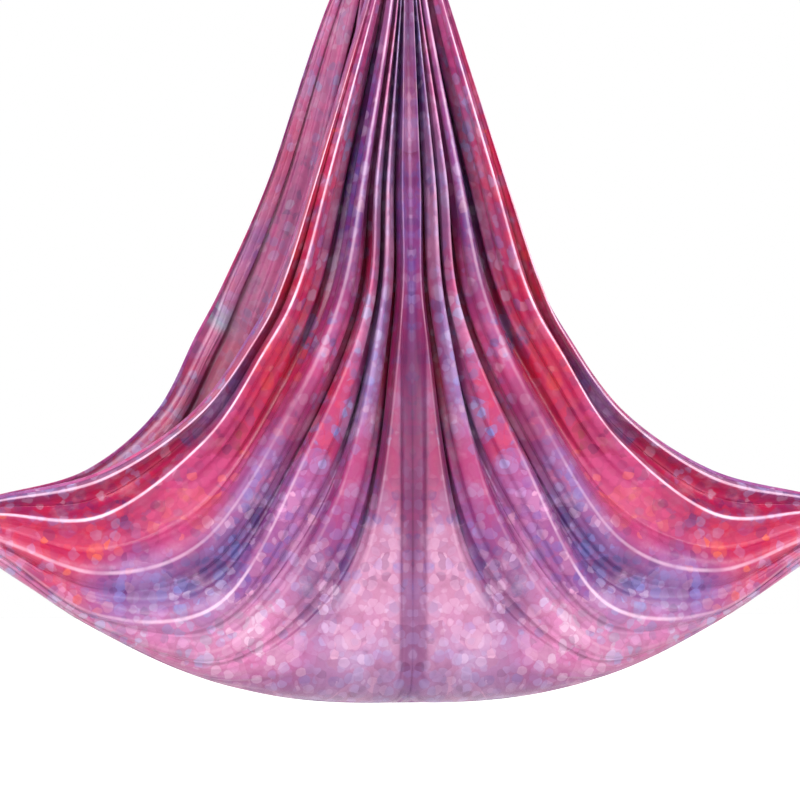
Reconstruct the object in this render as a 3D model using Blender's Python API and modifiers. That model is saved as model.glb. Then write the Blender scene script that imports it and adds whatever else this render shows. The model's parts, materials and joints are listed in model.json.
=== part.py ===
"""An aerial hammock: one sheet of nylon tricot, hung as a loop under a ball bearing swivel.

Lengths are in metres and +Z is up. The origin is the point that the ceiling's fixing carries,
inside the top bow of the anchor carabiner. -Y is the front.
"""

import math

import bmesh
import bpy
from mathutils import Matrix, Vector

# Fits that every piece shares
CLEARANCE = 0.0003
OVERRUN = 0.002
WELD = 0.00001

# Carabiners: a pear of round rod, its gate along one tangent side
ROD_RADIUS = 0.0055
SMALL_BOW_RADIUS = 0.0155
WIDE_BOW_RADIUS = 0.027
BOW_SPACING = 0.058
NOSE_STUB = 0.004
NOSE_GAP = 0.0006
HINGE_GAP = 0.0004
GATE_CHAMFER = 0.0004
GATE_OPENS = math.radians(24)

# Hinge tang, its cam and the sprung plunger in the gate
TANG_THICKNESS = 0.004
TANG_EMBED = 0.002
CAM_RADIUS = 0.0036
CAM_LIFT = 0.0006
SLOT_DEPTH = 0.0052
PIN_RADIUS = 0.0015
BORE_RADIUS = 0.0026
PLUNGER_LENGTH = 0.007
SPRING_LENGTH = 0.0124
SPRING_WIRE_RADIUS = 0.0004
SPRING_TURNS = 6

# Keyed nose, which the gate's slot closes round
KEY_NECK = 0.003
KEY_HEAD_RADIUS = 0.0024
KEY_DEPTH = 0.005
KEY_INNER = 0.0015
KEY_OUTER = 0.0046
KEY_GAP = 0.0005

# Screw sleeve on the gate, screwed back until the nose's key can swing out over its rim
SLEEVE_WALL = 0.002
SLEEVE_LENGTH = 0.022
SLEEVE_CLEARS_KEY = 0.0016
SLEEVE_CHAMFER = 0.0007
FLUTE_RADIUS = 0.0009
FLUTE_LENGTH = 0.014
FLUTES = 12

# Swivel: the upper eye and its housing
EYE_BAR_RADIUS = 0.0055
EYE_RADIUS = 0.018
HOUSING_RADIUS = 0.018
HOUSING_HEIGHT = 0.034
HOUSING_WALL = 0.0034
HOUSING_CROWN = 0.0105
HOUSING_SEAT = 0.003
HOUSING_SHOULDER = 0.007
HOUSING_CHAMFER = 0.001

# Swivel: the thrust bearing, its cover, nut and seal
STEM_RADIUS = 0.007
STEM_GAP = 0.0006
COVER_THICKNESS = 0.005
COVER_RECESS = 0.0005
RACE_THICKNESS = 0.003
RACE_SPACING = 0.0034
BALL_RADIUS = 0.0025
BALL_GAP = 0.0002
BALLS = 10
CAGE_THICKNESS = 0.0014
CAGE_MARGIN = 0.0012
NUT_HEIGHT = 0.0065
NUT_RADIUS = 0.0122
NUT_PIN_RADIUS = 0.0012
SEAL_THICKNESS = 0.0016
SEAL_RADIUS = 0.016

# Swivel: the lower eye, a stirrup wide enough for two carabiners
FLANGE_RADIUS = 0.0165
FLANGE_THICKNESS = 0.004
NECK_RADIUS = 0.009
NECK_LENGTH = 0.004
STIRRUP_BAR_RADIUS = 0.006
STIRRUP_CORNER_RADIUS = 0.012
STIRRUP_HALF_WIDTH = 0.016
STIRRUP_HEIGHT = 0.04
STIRRUP_EMBED = 0.001

# How the rig hangs: the swivel's turn, and the two carabiners side by side on the stirrup
RIG_TURN = math.radians(25)
CARABINER_SPREAD = 0.0091
CARABINER_SPLAY = math.radians(15.5)

# Knots: each end of the sheet over its carabiner's bow and round its own standing part
ROPE_RADIUS = 0.013
BOW_SQUEEZE_SHARE = 0.85
WRAP_GAP = 0.0012
WRAP_PITCH = 0.0275
WRAPS = 2.5
KNOT_TOP = 0.036
KNOT_LENGTH = 0.112
BEND_LENGTH = 0.045
TAIL_LENGTH = 0.09
WRAP_STEPS = 18

# Sheet: its drop from the knots, half its spread from tip to tip, and the depth of its belly
DROP = 2.186
HALF_SPREAD = 1.288
CENTRE_X = 0.032
BELLY_DEPTH = 0.15
TIP_DEPTH = 0.012
FOLD_RADIUS = 0.16
PLEAT_DEPTH = 0.08
CLOTH_THICKNESS = 0.0025

# The sheet's ridges from its selvedge to its centre line, each at nine stations from the knot
# to the wing's tip. The three shares are of the half spread outwards from the centre, of the
# drop downwards from the knot, and of the pleats' depth forwards from the smooth sheet
RIDGE_SHARES = (
    (
        (0.0155, 0.0, -0.05), (0.088, 0.137, -0.25), (0.198, 0.346, -0.3),
        (0.2725, 0.475, -0.3), (0.333, 0.544, -0.28), (0.455, 0.641, -0.2),
        (0.644, 0.713, -0.12), (0.853, 0.743, -0.05), (1.0, 0.7645, -0.01),
    ),
    (
        (0.015, 0.0, 0.05), (0.085, 0.139, 0.36), (0.195, 0.348, 0.46),
        (0.268, 0.48, 0.46), (0.327, 0.552, 0.44), (0.449, 0.647, 0.36),
        (0.644, 0.723, 0.24), (0.853, 0.749, 0.14), (1.0, 0.766, 0.04),
    ),
    (
        (0.0125, 0.0, 0.05), (0.072, 0.137, 0.38), (0.172, 0.346, 0.5),
        (0.241, 0.487, 0.5), (0.3145, 0.569, 0.5), (0.434, 0.675, 0.42),
        (0.644, 0.767, 0.3), (0.853, 0.765, 0.16), (1.0, 0.7675, 0.04),
    ),
    (
        (0.0098, 0.0, 0.05), (0.037, 0.137, 0.38), (0.1, 0.346, 0.48),
        (0.155, 0.505, 0.5), (0.26, 0.643, 0.5), (0.436, 0.797, 0.4),
        (0.644, 0.837, 0.22), (0.853, 0.796, 0.12), (1.0, 0.7695, 0.04),
    ),
    (
        (0.0072, 0.0, 0.05), (0.024, 0.137, 0.36), (0.073, 0.346, 0.44),
        (0.1, 0.512, 0.44), (0.224, 0.692, 0.4), (0.4, 0.873, 0.22),
        (0.644, 0.887, 0.12), (0.853, 0.811, 0.1), (1.0, 0.771, 0.04),
    ),
    (
        (0.0048, 0.0, 0.05), (0.017, 0.137, 0.34), (0.05, 0.346, 0.38),
        (0.071, 0.524, 0.34), (0.172, 0.765, 0.24), (0.388, 0.926, 0.12),
        (0.644, 0.9, 0.08), (0.853, 0.819, 0.08), (1.0, 0.7725, 0.04),
    ),
    (
        (0.0024, 0.0, 0.05), (0.0096, 0.137, 0.3), (0.019, 0.346, 0.3),
        (0.027, 0.542, 0.24), (0.115, 0.842, 0.12), (0.367, 0.962, 0.06),
        (0.644, 0.907, 0.04), (0.853, 0.824, 0.06), (1.0, 0.774, 0.03),
    ),
    (
        (0.0, 0.0, 0.05), (0.0, 0.137, 0.26), (0.0, 0.346, 0.24),
        (0.0, 0.561, 0.18), (0.0, 1.0, 0.0), (0.34, 0.985, 0.0),
        (0.644, 0.911, 0.0), (0.853, 0.829, 0.0), (1.0, 0.775, 0.0),
    ),
)
FOLD_STATION = 4
ROW_PLACE_SHARES = (0, 1, 2, 3, 3.45, 3.8, 4, 5, 6, 7, 8)

# The rear panel against the front one at those stations: its lean to the left as a share of
# the half spread, and its width as a share of the front panel's
REAR_SHARES = (
    (0.0, 1.0), (-0.0215, 1.14), (-0.032, 1.11),
    (-0.054, 1.1), (-0.057, 1.085), (-0.04, 1.035),
    (-0.014, 1.01), (0.0, 1.0), (0.0, 1.0),
)

# The bottom fold's rise from the middle to the tips, and how the belly fills out and closes
FOLD_RISE_SHARE = 0.225
FOLD_CURVE_SHARE = 1.45
BELLY_SHARE = 0.7
TIP_DOWN_SHARE = 0.775
WING_POWER_SHARE = 0.7

COLLECTION = "aerial_hammock"
SMOOTH_ANGLE = math.radians(40)


def clear_scene():
    """Empties the scene and makes the collections for the parts and for their cutters."""
    for obj in list(bpy.data.objects):
        bpy.data.objects.remove(obj)
    for name in (COLLECTION, "cutters"):
        bpy.context.scene.collection.children.link(bpy.data.collections.new(name))
    bpy.data.collections["cutters"].hide_render = True


def material(name, colour, roughness, metallic):
    """A plain Principled material, made once for each name."""
    found = bpy.data.materials.get(name)
    if found:
        return found
    made = bpy.data.materials.new(name)
    made.use_nodes = True
    shader = made.node_tree.nodes["Principled BSDF"]
    shader.inputs["Base Color"].default_value = (*colour, 1.0)
    shader.inputs["Roughness"].default_value = roughness
    shader.inputs["Metallic"].default_value = metallic
    return made


def alloy():
    """Bright anodised aluminium of the carabiners' frames and gates."""
    return material("silver_alloy", (0.62, 0.63, 0.65), 0.3, 1.0)


def sleeve_alloy():
    """Dark anodised aluminium of the lock sleeves."""
    return material("dark_alloy", (0.05, 0.05, 0.06), 0.4, 0.9)


def steel():
    """Plated steel of the swivel and the pins."""
    return material("plated_steel", (0.55, 0.56, 0.58), 0.25, 1.0)


def rubber():
    """Black rubber of the swivel's seal."""
    return material("black_rubber", (0.02, 0.02, 0.02), 0.7, 0.0)


def tricot():
    """Printed nylon tricot, whose colours average a magenta pink."""
    return material("printed_tricot", (0.52, 0.16, 0.33), 0.5, 0.0)


def add(name, data, finish, parent=None):
    """Puts mesh, curve or empty data in the object's collection, under its parent."""
    obj = bpy.data.objects.new(name, data)
    bpy.data.collections[COLLECTION].objects.link(obj)
    obj.parent = parent
    if finish:
        data.materials.append(finish)
    return obj


def empty(name, place, parent=None):
    """An empty at a place given as a matrix under its parent."""
    obj = add(name, None, None, parent)
    obj.matrix_local = place
    return obj


def as_cutter(obj):
    """Moves a helper solid to the cutters' collection."""
    bpy.data.collections[COLLECTION].objects.unlink(obj)
    bpy.data.collections["cutters"].objects.link(obj)
    obj.hide_render = True
    obj.display_type = "WIRE"
    return obj


def combine(target, helper, operation):
    """Joins a helper solid to the target or cuts it away, with the exact solver."""
    modifier = target.modifiers.new(helper.name, "BOOLEAN")
    modifier.operation = operation
    modifier.object = as_cutter(helper)


def smooth(mesh):
    """Shades a mesh smooth, but for its sharp edges."""
    mesh.shade_smooth()
    mesh.set_sharp_from_angle(angle=SMOOTH_ANGLE)


def arc(centre, radius, start, sweep, steps):
    """Points along an arc in a plane, from a start angle through a sweep."""
    angles = [start + sweep * i / steps for i in range(steps + 1)]
    return [(centre[0] + radius * math.cos(a), centre[1] + radius * math.sin(a)) for a in angles]


def tube(name, points, radius, finish, parent=None, closed=False, sides=8, radii=None):
    """A round rod along points, made a mesh with welded ends."""
    curve = bpy.data.curves.new(name, "CURVE")
    curve.dimensions = "3D"
    curve.bevel_depth = radius
    curve.bevel_resolution = sides // 2 - 2
    curve.use_fill_caps = True
    spline = curve.splines.new("POLY")
    spline.points.add(len(points) - 1)
    for i, point in enumerate(points):
        spline.points[i].co = (*point, 1.0)
        spline.points[i].radius = radii[i] if radii else 1.0
    spline.use_cyclic_u = closed
    mesh = curve_mesh(name, curve)
    smooth(mesh)
    return add(name, mesh, finish, parent)


def curve_mesh(name, curve):
    """The closed mesh that a curve with a bevel or an extrusion makes."""
    guide = add(f"{name}_guide", curve, None)
    graph = bpy.context.evaluated_depsgraph_get()
    mesh = bpy.data.meshes.new_from_object(guide.evaluated_get(graph))
    bpy.data.objects.remove(guide)
    weld(mesh)
    return mesh


def weld(mesh):
    """Merges a mesh's doubled points and turns its faces outwards."""
    work = bmesh.new()
    work.from_mesh(mesh)
    bmesh.ops.remove_doubles(work, verts=work.verts, dist=WELD)
    bmesh.ops.recalc_face_normals(work, faces=work.faces)
    work.to_mesh(mesh)
    work.free()


def turned(name, profile, finish, parent=None, steps=24, ring=False):
    """A turned solid: its profile runs down the outer side, and a ring's closes on itself."""
    mesh = bpy.data.meshes.new(name)
    edges = [(i, i + 1) for i in range(len(profile) - 1)]
    if ring:
        edges.append((len(profile) - 1, 0))
    mesh.from_pydata([(r, 0.0, z) for r, z in profile], edges, [])
    obj = add(name, mesh, finish, parent)
    screw = obj.modifiers.new("turn", "SCREW")
    screw.steps = steps
    screw.render_steps = steps
    screw.use_merge_vertices = True
    screw.merge_threshold = WELD
    screw.use_smooth_shade = True
    return obj


def box(name, low, high, parent=None):
    """A box between two corners."""
    mesh = bpy.data.meshes.new(name)
    work = bmesh.new()
    bmesh.ops.create_cube(work, size=1.0)
    size = Vector(high) - Vector(low)
    middle = (Vector(high) + Vector(low)) / 2
    place = Matrix.Translation(middle) @ Matrix.Diagonal((*size, 1.0))
    bmesh.ops.transform(work, matrix=place, verts=work.verts)
    work.to_mesh(mesh)
    work.free()
    return add(name, mesh, None, parent)


def rod(name, radius, length, turn, middle, parent=None, sides=16, finish=None):
    """A cylinder of a length about its middle, turned from the Z axis by a matrix."""
    mesh = bpy.data.meshes.new(name)
    work = bmesh.new()
    bmesh.ops.create_cone(work, cap_ends=True, segments=sides, radius1=radius, radius2=radius, depth=length)
    bmesh.ops.transform(work, matrix=Matrix.Translation(middle) @ turn, verts=work.verts)
    work.to_mesh(mesh)
    work.free()
    smooth(mesh)
    return add(name, mesh, finish, parent)


def plate(name, outlines, thickness, parent=None):
    """A flat plate of a thickness along Y: an outline in the XZ plane, with others as its holes."""
    curve = bpy.data.curves.new(name, "CURVE")
    curve.dimensions = "2D"
    curve.fill_mode = "BOTH"
    curve.extrude = thickness / 2
    for outline in outlines:
        spline = curve.splines.new("POLY")
        spline.points.add(len(outline) - 1)
        for i, (x, z) in enumerate(outline):
            spline.points[i].co = (x, z, 0.0, 1.0)
        spline.use_cyclic_u = True
    mesh = curve_mesh(name, curve)
    mesh.transform(ALONG_Y)
    return add(name, mesh, None, parent)


ALONG_Y = Matrix.Rotation(math.radians(90), 4, "X")
ACROSS = Matrix.Rotation(math.radians(90), 4, "Z")

# Places on a carabiner, in its own frame: the small bow up, the gate on +X
GATE_LEAN = math.asin((WIDE_BOW_RADIUS - SMALL_BOW_RADIUS) / BOW_SPACING)
GATE_SIDE = BOW_SPACING * math.cos(GATE_LEAN)
PIVOT_DROP = ROD_RADIUS + HINGE_GAP
GATE_LENGTH = GATE_SIDE - PIVOT_DROP - NOSE_STUB - NOSE_GAP
NOSE_FACE = GATE_LENGTH + NOSE_GAP
SMALL_BOW = (0.0, BOW_SPACING / 2)
WIDE_BOW = (0.0, -BOW_SPACING / 2)
WIDE_BOW_INSIDE = WIDE_BOW_RADIUS - ROD_RADIUS


def gate_frame():
    """The gate's frame in its carabiner: origin on the pivot, Z to the nose, X inwards."""
    along = Vector((math.sin(GATE_LEAN), 0.0, -math.cos(GATE_LEAN)))
    tangent = Vector((math.cos(GATE_LEAN), 0.0, math.sin(GATE_LEAN))) * SMALL_BOW_RADIUS
    pivot = Vector((SMALL_BOW[0], 0.0, SMALL_BOW[1])) + tangent + along * PIVOT_DROP
    across = Vector((0.0, 1.0, 0.0))
    inwards = across.cross(along)
    turn = Matrix((inwards, across, along)).transposed().to_4x4()
    return Matrix.Translation(pivot) @ turn


def frame_points():
    """The rod's path: from the hinge round the small bow, down the spine, round to the nose."""
    half_turn = math.pi - 2 * GATE_LEAN
    small = arc(SMALL_BOW, SMALL_BOW_RADIUS, GATE_LEAN, half_turn, 12)
    wide = arc(WIDE_BOW, WIDE_BOW_RADIUS, math.pi - GATE_LEAN, math.pi + 2 * GATE_LEAN, 16)
    nose = gate_frame() @ Vector((0.0, 0.0, NOSE_FACE))
    return [(x, 0.0, z) for x, z in small + wide] + [tuple(nose)]


def cam_outline():
    """The tang's outline about the pivot, its rim a spiral under the plunger's path."""
    steps = 6
    rim = [(-math.pi / 2 + math.pi / 2 * i / steps, CAM_RADIUS) for i in range(steps)]
    rim += [(GATE_OPENS * i / steps, CAM_RADIUS + CAM_LIFT * i / steps) for i in range(steps + 1)]
    rest = math.pi / 2 - GATE_OPENS
    rim += [(GATE_OPENS + rest * i / steps, CAM_RADIUS + CAM_LIFT) for i in range(1, steps + 1)]
    points = [(r * math.sin(a), r * math.cos(a)) for a, r in rim]
    root = -(PIVOT_DROP + TANG_EMBED)
    return points + [(CAM_RADIUS + CAM_LIFT, root), (-CAM_RADIUS, root)]


def key(name, gap, top, pivot):
    """The nose's key, or with a gap the slot that it leaves in the gate."""
    foot = NOSE_FACE - KEY_DEPTH
    inner = KEY_INNER + gap
    outer = ROD_RADIUS + OVERRUN if gap else KEY_OUTER
    neck = KEY_NECK / 2 + gap
    head = KEY_HEAD_RADIUS + gap
    half = math.asin(neck / head)
    outline = arc((0.0, foot), head, math.pi / 2 + half, 2 * math.pi - 2 * half, 12)
    solid = plate(name, (outline + [(neck, top), (-neck, top)],), inner + outer, pivot)
    solid.matrix_local = Matrix.Translation(((inner - outer) / 2, 0.0, 0.0)) @ ACROSS
    return solid


def carabiner_frame(prefix, carabiner, pivot):
    """The bent rod, with the tang that carries the gate and the key at its nose."""
    frame = tube(f"{prefix}_frame", frame_points(), ROD_RADIUS, alloy(), carabiner, sides=10)
    hole = arc((0.0, 0.0), PIN_RADIUS + CLEARANCE, 0.0, 2 * math.pi, 12)[:-1]
    tang = plate(f"{prefix}_tang", (cam_outline(), hole), TANG_THICKNESS, pivot)
    combine(frame, tang, "UNION")
    combine(frame, key(f"{prefix}_key", 0, NOSE_FACE + OVERRUN, pivot), "UNION")
    return frame


def gate(prefix, pivot):
    """The gate: a round bar, slotted for the tang and the key, bored for its spring."""
    dome = [(x, -z) for x, z in arc((0.0, 0.0), ROD_RADIUS, 0.0, math.pi / 2, 6)]
    dome[-1] = (0.0, -ROD_RADIUS)
    flat = ROD_RADIUS - GATE_CHAMFER
    profile = [(0.0, GATE_LENGTH), (flat, GATE_LENGTH), (ROD_RADIUS, GATE_LENGTH - GATE_CHAMFER)] + dome
    bar = turned(f"{prefix}_gate", profile, alloy(), pivot, 20)
    reach = ROD_RADIUS + OVERRUN
    half_slot = TANG_THICKNESS / 2 + CLEARANCE
    slot = box(f"{prefix}_hinge_slot", (-reach, -half_slot, -reach), (reach, half_slot, SLOT_DEPTH), pivot)
    combine(bar, slot, "DIFFERENCE")
    hole = rod(f"{prefix}_pin_hole", PIN_RADIUS + CLEARANCE, 2 * reach, ALONG_Y, (0, 0, 0), pivot, 12)
    combine(bar, hole, "DIFFERENCE")
    depth = bore_end() - SLOT_DEPTH + OVERRUN
    middle = (0.0, 0.0, bore_end() - depth / 2)
    bore = rod(f"{prefix}_spring_bore", BORE_RADIUS, depth, Matrix(), middle, pivot, 16)
    combine(bar, bore, "DIFFERENCE")
    combine(bar, key(f"{prefix}_keyway", KEY_GAP, GATE_LENGTH + OVERRUN, pivot), "DIFFERENCE")
    return bar


def spring_start():
    """Where the spring begins along the gate, clear of the plunger when it is driven in."""
    return CAM_RADIUS + CLEARANCE + PLUNGER_LENGTH + CAM_LIFT + CLEARANCE


def bore_end():
    """Where the spring's bore ends along the gate."""
    return spring_start() + SPRING_LENGTH + CLEARANCE


def plunger(prefix, pivot):
    """The domed pusher between the cam and the spring."""
    radius = BORE_RADIUS - CLEARANCE
    dome = [(x, radius - z) for x, z in arc((0.0, 0.0), radius, 0.0, math.pi / 2, 4)]
    dome[-1] = (0.0, 0.0)
    profile = [(0.0, PLUNGER_LENGTH), (radius, PLUNGER_LENGTH)] + dome
    body = turned(f"{prefix}_plunger", profile, steel(), pivot, 12)
    body.location.z = CAM_RADIUS + CLEARANCE
    return body


def spring(prefix, pivot):
    """The gate's coil spring, one helix of round wire."""
    radius = BORE_RADIUS - CLEARANCE - SPRING_WIRE_RADIUS
    steps = 9 * SPRING_TURNS
    rise = SPRING_LENGTH - 2 * SPRING_WIRE_RADIUS
    points = []
    for i in range(steps + 1):
        angle = 2 * math.pi * SPRING_TURNS * i / steps
        height = spring_start() + SPRING_WIRE_RADIUS + rise * i / steps
        points.append((radius * math.cos(angle), radius * math.sin(angle), height))
    return tube(f"{prefix}_spring", points, SPRING_WIRE_RADIUS, steel(), pivot, sides=4)


def sleeve(prefix, pivot):
    """The screw sleeve, a fluted tube round the gate."""
    inner = ROD_RADIUS + CLEARANCE
    outer = inner + SLEEVE_WALL
    top = SLEEVE_LENGTH
    profile = [(inner, top), (outer - SLEEVE_CHAMFER, top), (outer, top - SLEEVE_CHAMFER)]
    profile += [(outer, SLEEVE_CHAMFER), (outer - SLEEVE_CHAMFER, 0.0), (inner, 0.0)]
    tube_ring = turned(f"{prefix}_sleeve", profile, sleeve_alloy(), pivot, 24, ring=True)
    key_foot = NOSE_FACE - KEY_DEPTH - KEY_HEAD_RADIUS
    tube_ring.location.z = key_foot - SLEEVE_CLEARS_KEY - SLEEVE_LENGTH
    flutes = bmesh.new()
    for i in range(FLUTES):
        angle = 2 * math.pi * i / FLUTES
        place = Matrix.Rotation(angle, 4, "Z") @ Matrix.Translation((outer, 0.0, SLEEVE_LENGTH / 2))
        bmesh.ops.create_cone(
            flutes,
            cap_ends=True,
            segments=6,
            radius1=FLUTE_RADIUS,
            radius2=FLUTE_RADIUS,
            depth=FLUTE_LENGTH,
            matrix=place,
        )
    mesh = bpy.data.meshes.new(f"{prefix}_flutes")
    flutes.to_mesh(mesh)
    flutes.free()
    combine(tube_ring, add(f"{prefix}_flutes", mesh, None, tube_ring), "DIFFERENCE")
    return tube_ring


def carabiner(prefix, place, parent):
    """One screw gate carabiner, all its pieces under an empty of its name."""
    body = empty(prefix, place, parent)
    pivot = empty(f"{prefix}_gate_pivot", gate_frame(), body)
    carabiner_frame(prefix, body, pivot)
    gate(prefix, pivot)
    pin_length = 2 * (ROD_RADIUS - CLEARANCE)
    rod(f"{prefix}_gate_pin", PIN_RADIUS, pin_length, ALONG_Y, (0, 0, 0), pivot, 12, steel())
    plunger(prefix, pivot)
    spring(prefix, pivot)
    sleeve(prefix, pivot)
    return body


# Heights on the rig, down from the origin
ANCHOR_CENTRE = -WIDE_BOW_INSIDE - BOW_SPACING / 2
ANCHOR_ROD = -WIDE_BOW_INSIDE - BOW_SPACING - SMALL_BOW_RADIUS
EYE_TOP_BAR = ANCHOR_ROD + ROD_RADIUS + CLEARANCE + EYE_BAR_RADIUS
EYE_CENTRE = EYE_TOP_BAR - EYE_RADIUS
HOUSING_TOP = EYE_CENTRE - EYE_RADIUS + HOUSING_SEAT
HOUSING_BOTTOM = HOUSING_TOP - HOUSING_HEIGHT
COVER_TOP = HOUSING_BOTTOM + COVER_RECESS + COVER_THICKNESS
LOWER_RACE_TOP = COVER_TOP + CLEARANCE + RACE_THICKNESS
BALL_CENTRE = LOWER_RACE_TOP + RACE_SPACING / 2
UPPER_RACE_TOP = LOWER_RACE_TOP + RACE_SPACING + RACE_THICKNESS
NUT_BOTTOM = UPPER_RACE_TOP + CLEARANCE
SEAL_TOP = HOUSING_BOTTOM - CLEARANCE
FLANGE_TOP = SEAL_TOP - SEAL_THICKNESS - CLEARANCE
STIRRUP_TOP = FLANGE_TOP - FLANGE_THICKNESS - NECK_LENGTH
STIRRUP_BAR = STIRRUP_TOP - STIRRUP_HEIGHT
CAVITY_RADIUS = HOUSING_RADIUS - HOUSING_WALL


def upper_eye(rig):
    """The swivel's upper half: a ring on a bell that holds the bearing."""
    ring = arc((0.0, EYE_CENTRE), EYE_RADIUS, 0.0, 2 * math.pi, 24)[:-1]
    points = [(0.0, y, z) for y, z in ring]
    outer = HOUSING_RADIUS
    ceiling = HOUSING_TOP - HOUSING_CROWN
    shoulder = HOUSING_TOP - HOUSING_SHOULDER
    middle = (HOUSING_TOP + shoulder) / 2
    profile = [(0.0, HOUSING_TOP), (EYE_BAR_RADIUS, HOUSING_TOP), (CAVITY_RADIUS, middle), (outer, shoulder)]
    profile += [(outer, HOUSING_BOTTOM + HOUSING_CHAMFER), (outer - HOUSING_CHAMFER, HOUSING_BOTTOM)]
    profile += [(CAVITY_RADIUS, HOUSING_BOTTOM), (CAVITY_RADIUS, ceiling), (0.0, ceiling)]
    housing = turned("swivel_upper_eye", profile, steel(), rig, 32)
    eye = tube("upper_eye_ring", points, EYE_BAR_RADIUS, None, rig, closed=True, sides=10)
    combine(housing, eye, "UNION")
    return housing


def swivel_cover(rig):
    """The threaded ring that closes the bell and carries the lower race."""
    outer = CAVITY_RADIUS - CLEARANCE
    inner = STEM_RADIUS + STEM_GAP
    low = COVER_TOP - COVER_THICKNESS
    profile = [(inner, COVER_TOP), (outer, COVER_TOP), (outer, low), (inner, low)]
    return turned("swivel_cover", profile, steel(), rig, 32, ring=True)


def race_profile(inner, outer, back, face):
    """A race's half section, its groove a round arc that the balls run in."""
    pitch = ball_pitch()
    groove = BALL_RADIUS + BALL_GAP
    depth = RACE_SPACING / 2
    half = math.sqrt(groove**2 - depth**2)
    spread = math.atan2(half, depth)
    rise = 1 if back > face else -1
    steps = 5
    angles = [spread - 2 * spread * i / steps for i in range(steps + 1)]
    arc_points = [
        (pitch + groove * math.sin(a), face + rise * (groove * math.cos(a) - depth)) for a in angles
    ]
    if rise > 0:
        return [(inner, back), (outer, back), (outer, face)] + arc_points + [(inner, face)]
    return [(inner, face)] + arc_points[::-1] + [(outer, face), (outer, back), (inner, back)]


def ball_pitch():
    """The radius of the circle that the balls' centres run on."""
    return (STEM_RADIUS + STEM_GAP + CAVITY_RADIUS) / 2


def lower_race(rig):
    """The race that rests on the cover."""
    inner = STEM_RADIUS + STEM_GAP
    profile = race_profile(inner, CAVITY_RADIUS - CLEARANCE, COVER_TOP + CLEARANCE, LOWER_RACE_TOP)
    return turned("bearing_lower_race", profile, steel(), rig, 32, ring=True)


def upper_race(spin):
    """The race that turns with the shaft, under its nut."""
    inner = STEM_RADIUS + CLEARANCE
    profile = race_profile(inner, CAVITY_RADIUS - STEM_GAP, UPPER_RACE_TOP, UPPER_RACE_TOP - RACE_THICKNESS)
    return turned("bearing_upper_race", profile, steel(), spin, 32, ring=True)


def ball_cage(spin):
    """The balls, held apart in their cage."""
    inner = STEM_RADIUS + CAGE_MARGIN
    outer = CAVITY_RADIUS - CAGE_MARGIN
    low = BALL_CENTRE - CAGE_THICKNESS / 2
    high = BALL_CENTRE + CAGE_THICKNESS / 2
    profile = [(inner, high), (outer, high), (outer, low), (inner, low)]
    cage = turned("bearing_balls", profile, steel(), spin, 32, ring=True)
    balls = bmesh.new()
    for i in range(BALLS):
        angle = 2 * math.pi * i / BALLS
        place = Matrix.Rotation(angle, 4, "Z") @ Matrix.Translation((ball_pitch(), 0.0, BALL_CENTRE))
        bmesh.ops.create_icosphere(balls, subdivisions=2, radius=BALL_RADIUS, matrix=place)
    mesh = bpy.data.meshes.new("balls")
    balls.to_mesh(mesh)
    balls.free()
    combine(cage, add("balls", mesh, None, spin), "UNION")
    return cage


def shaft_nut(spin):
    """The hexagon nut that holds the shaft up on the upper race."""
    middle = (0.0, 0.0, NUT_BOTTOM + NUT_HEIGHT / 2)
    nut = rod("shaft_nut", NUT_RADIUS, NUT_HEIGHT, Matrix(), middle, spin, 6, steel())
    bore = rod("nut_bore", STEM_RADIUS + CLEARANCE, NUT_HEIGHT + 2 * OVERRUN, Matrix(), middle, spin, 24)
    combine(nut, bore, "DIFFERENCE")
    combine(nut, nut_pin_hole("nut_pin_bore", spin), "DIFFERENCE")
    return nut


def nut_pin_hole(name, spin):
    """The hole for the pin, straight through the nut and the shaft."""
    middle = (0.0, 0.0, NUT_BOTTOM + NUT_HEIGHT / 2)
    return rod(name, NUT_PIN_RADIUS + CLEARANCE, 2 * (NUT_RADIUS + OVERRUN), ALONG_Y, middle, spin, 10)


def nut_pin(spin):
    """The pin that stops the nut from turning on the shaft."""
    middle = (0.0, 0.0, NUT_BOTTOM + NUT_HEIGHT / 2)
    length = 2 * NUT_RADIUS * math.cos(math.pi / 6) - 2 * CLEARANCE
    return rod("nut_pin", NUT_PIN_RADIUS, length, ALONG_Y, middle, spin, 10, steel())


def seal(spin):
    """The rubber ring between the bell and the shaft's flange."""
    inner = STEM_RADIUS + CLEARANCE
    low = SEAL_TOP - SEAL_THICKNESS
    profile = [(inner, SEAL_TOP), (SEAL_RADIUS, SEAL_TOP), (SEAL_RADIUS, low), (inner, low)]
    return turned("swivel_seal", profile, rubber(), spin, 32, ring=True)


def stirrup_points():
    """The lower eye's path in the YZ plane: a triangle with round corners, flat at its bar."""
    corner = STIRRUP_CORNER_RADIUS
    top = (0.0, STIRRUP_TOP - corner)
    right = (STIRRUP_HALF_WIDTH, STIRRUP_BAR + corner)
    left = (-STIRRUP_HALF_WIDTH, STIRRUP_BAR + corner)
    side = math.atan2(STIRRUP_HALF_WIDTH, top[1] - right[1])
    over = arc(top, corner, side, math.pi - 2 * side, 8)
    under = math.pi / 2 + side
    round_left = arc(left, corner, math.pi - side, under, 6)
    round_right = arc(right, corner, -math.pi / 2, under, 6)
    return [(0.0, y, z) for y, z in over + round_left + round_right]


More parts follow.
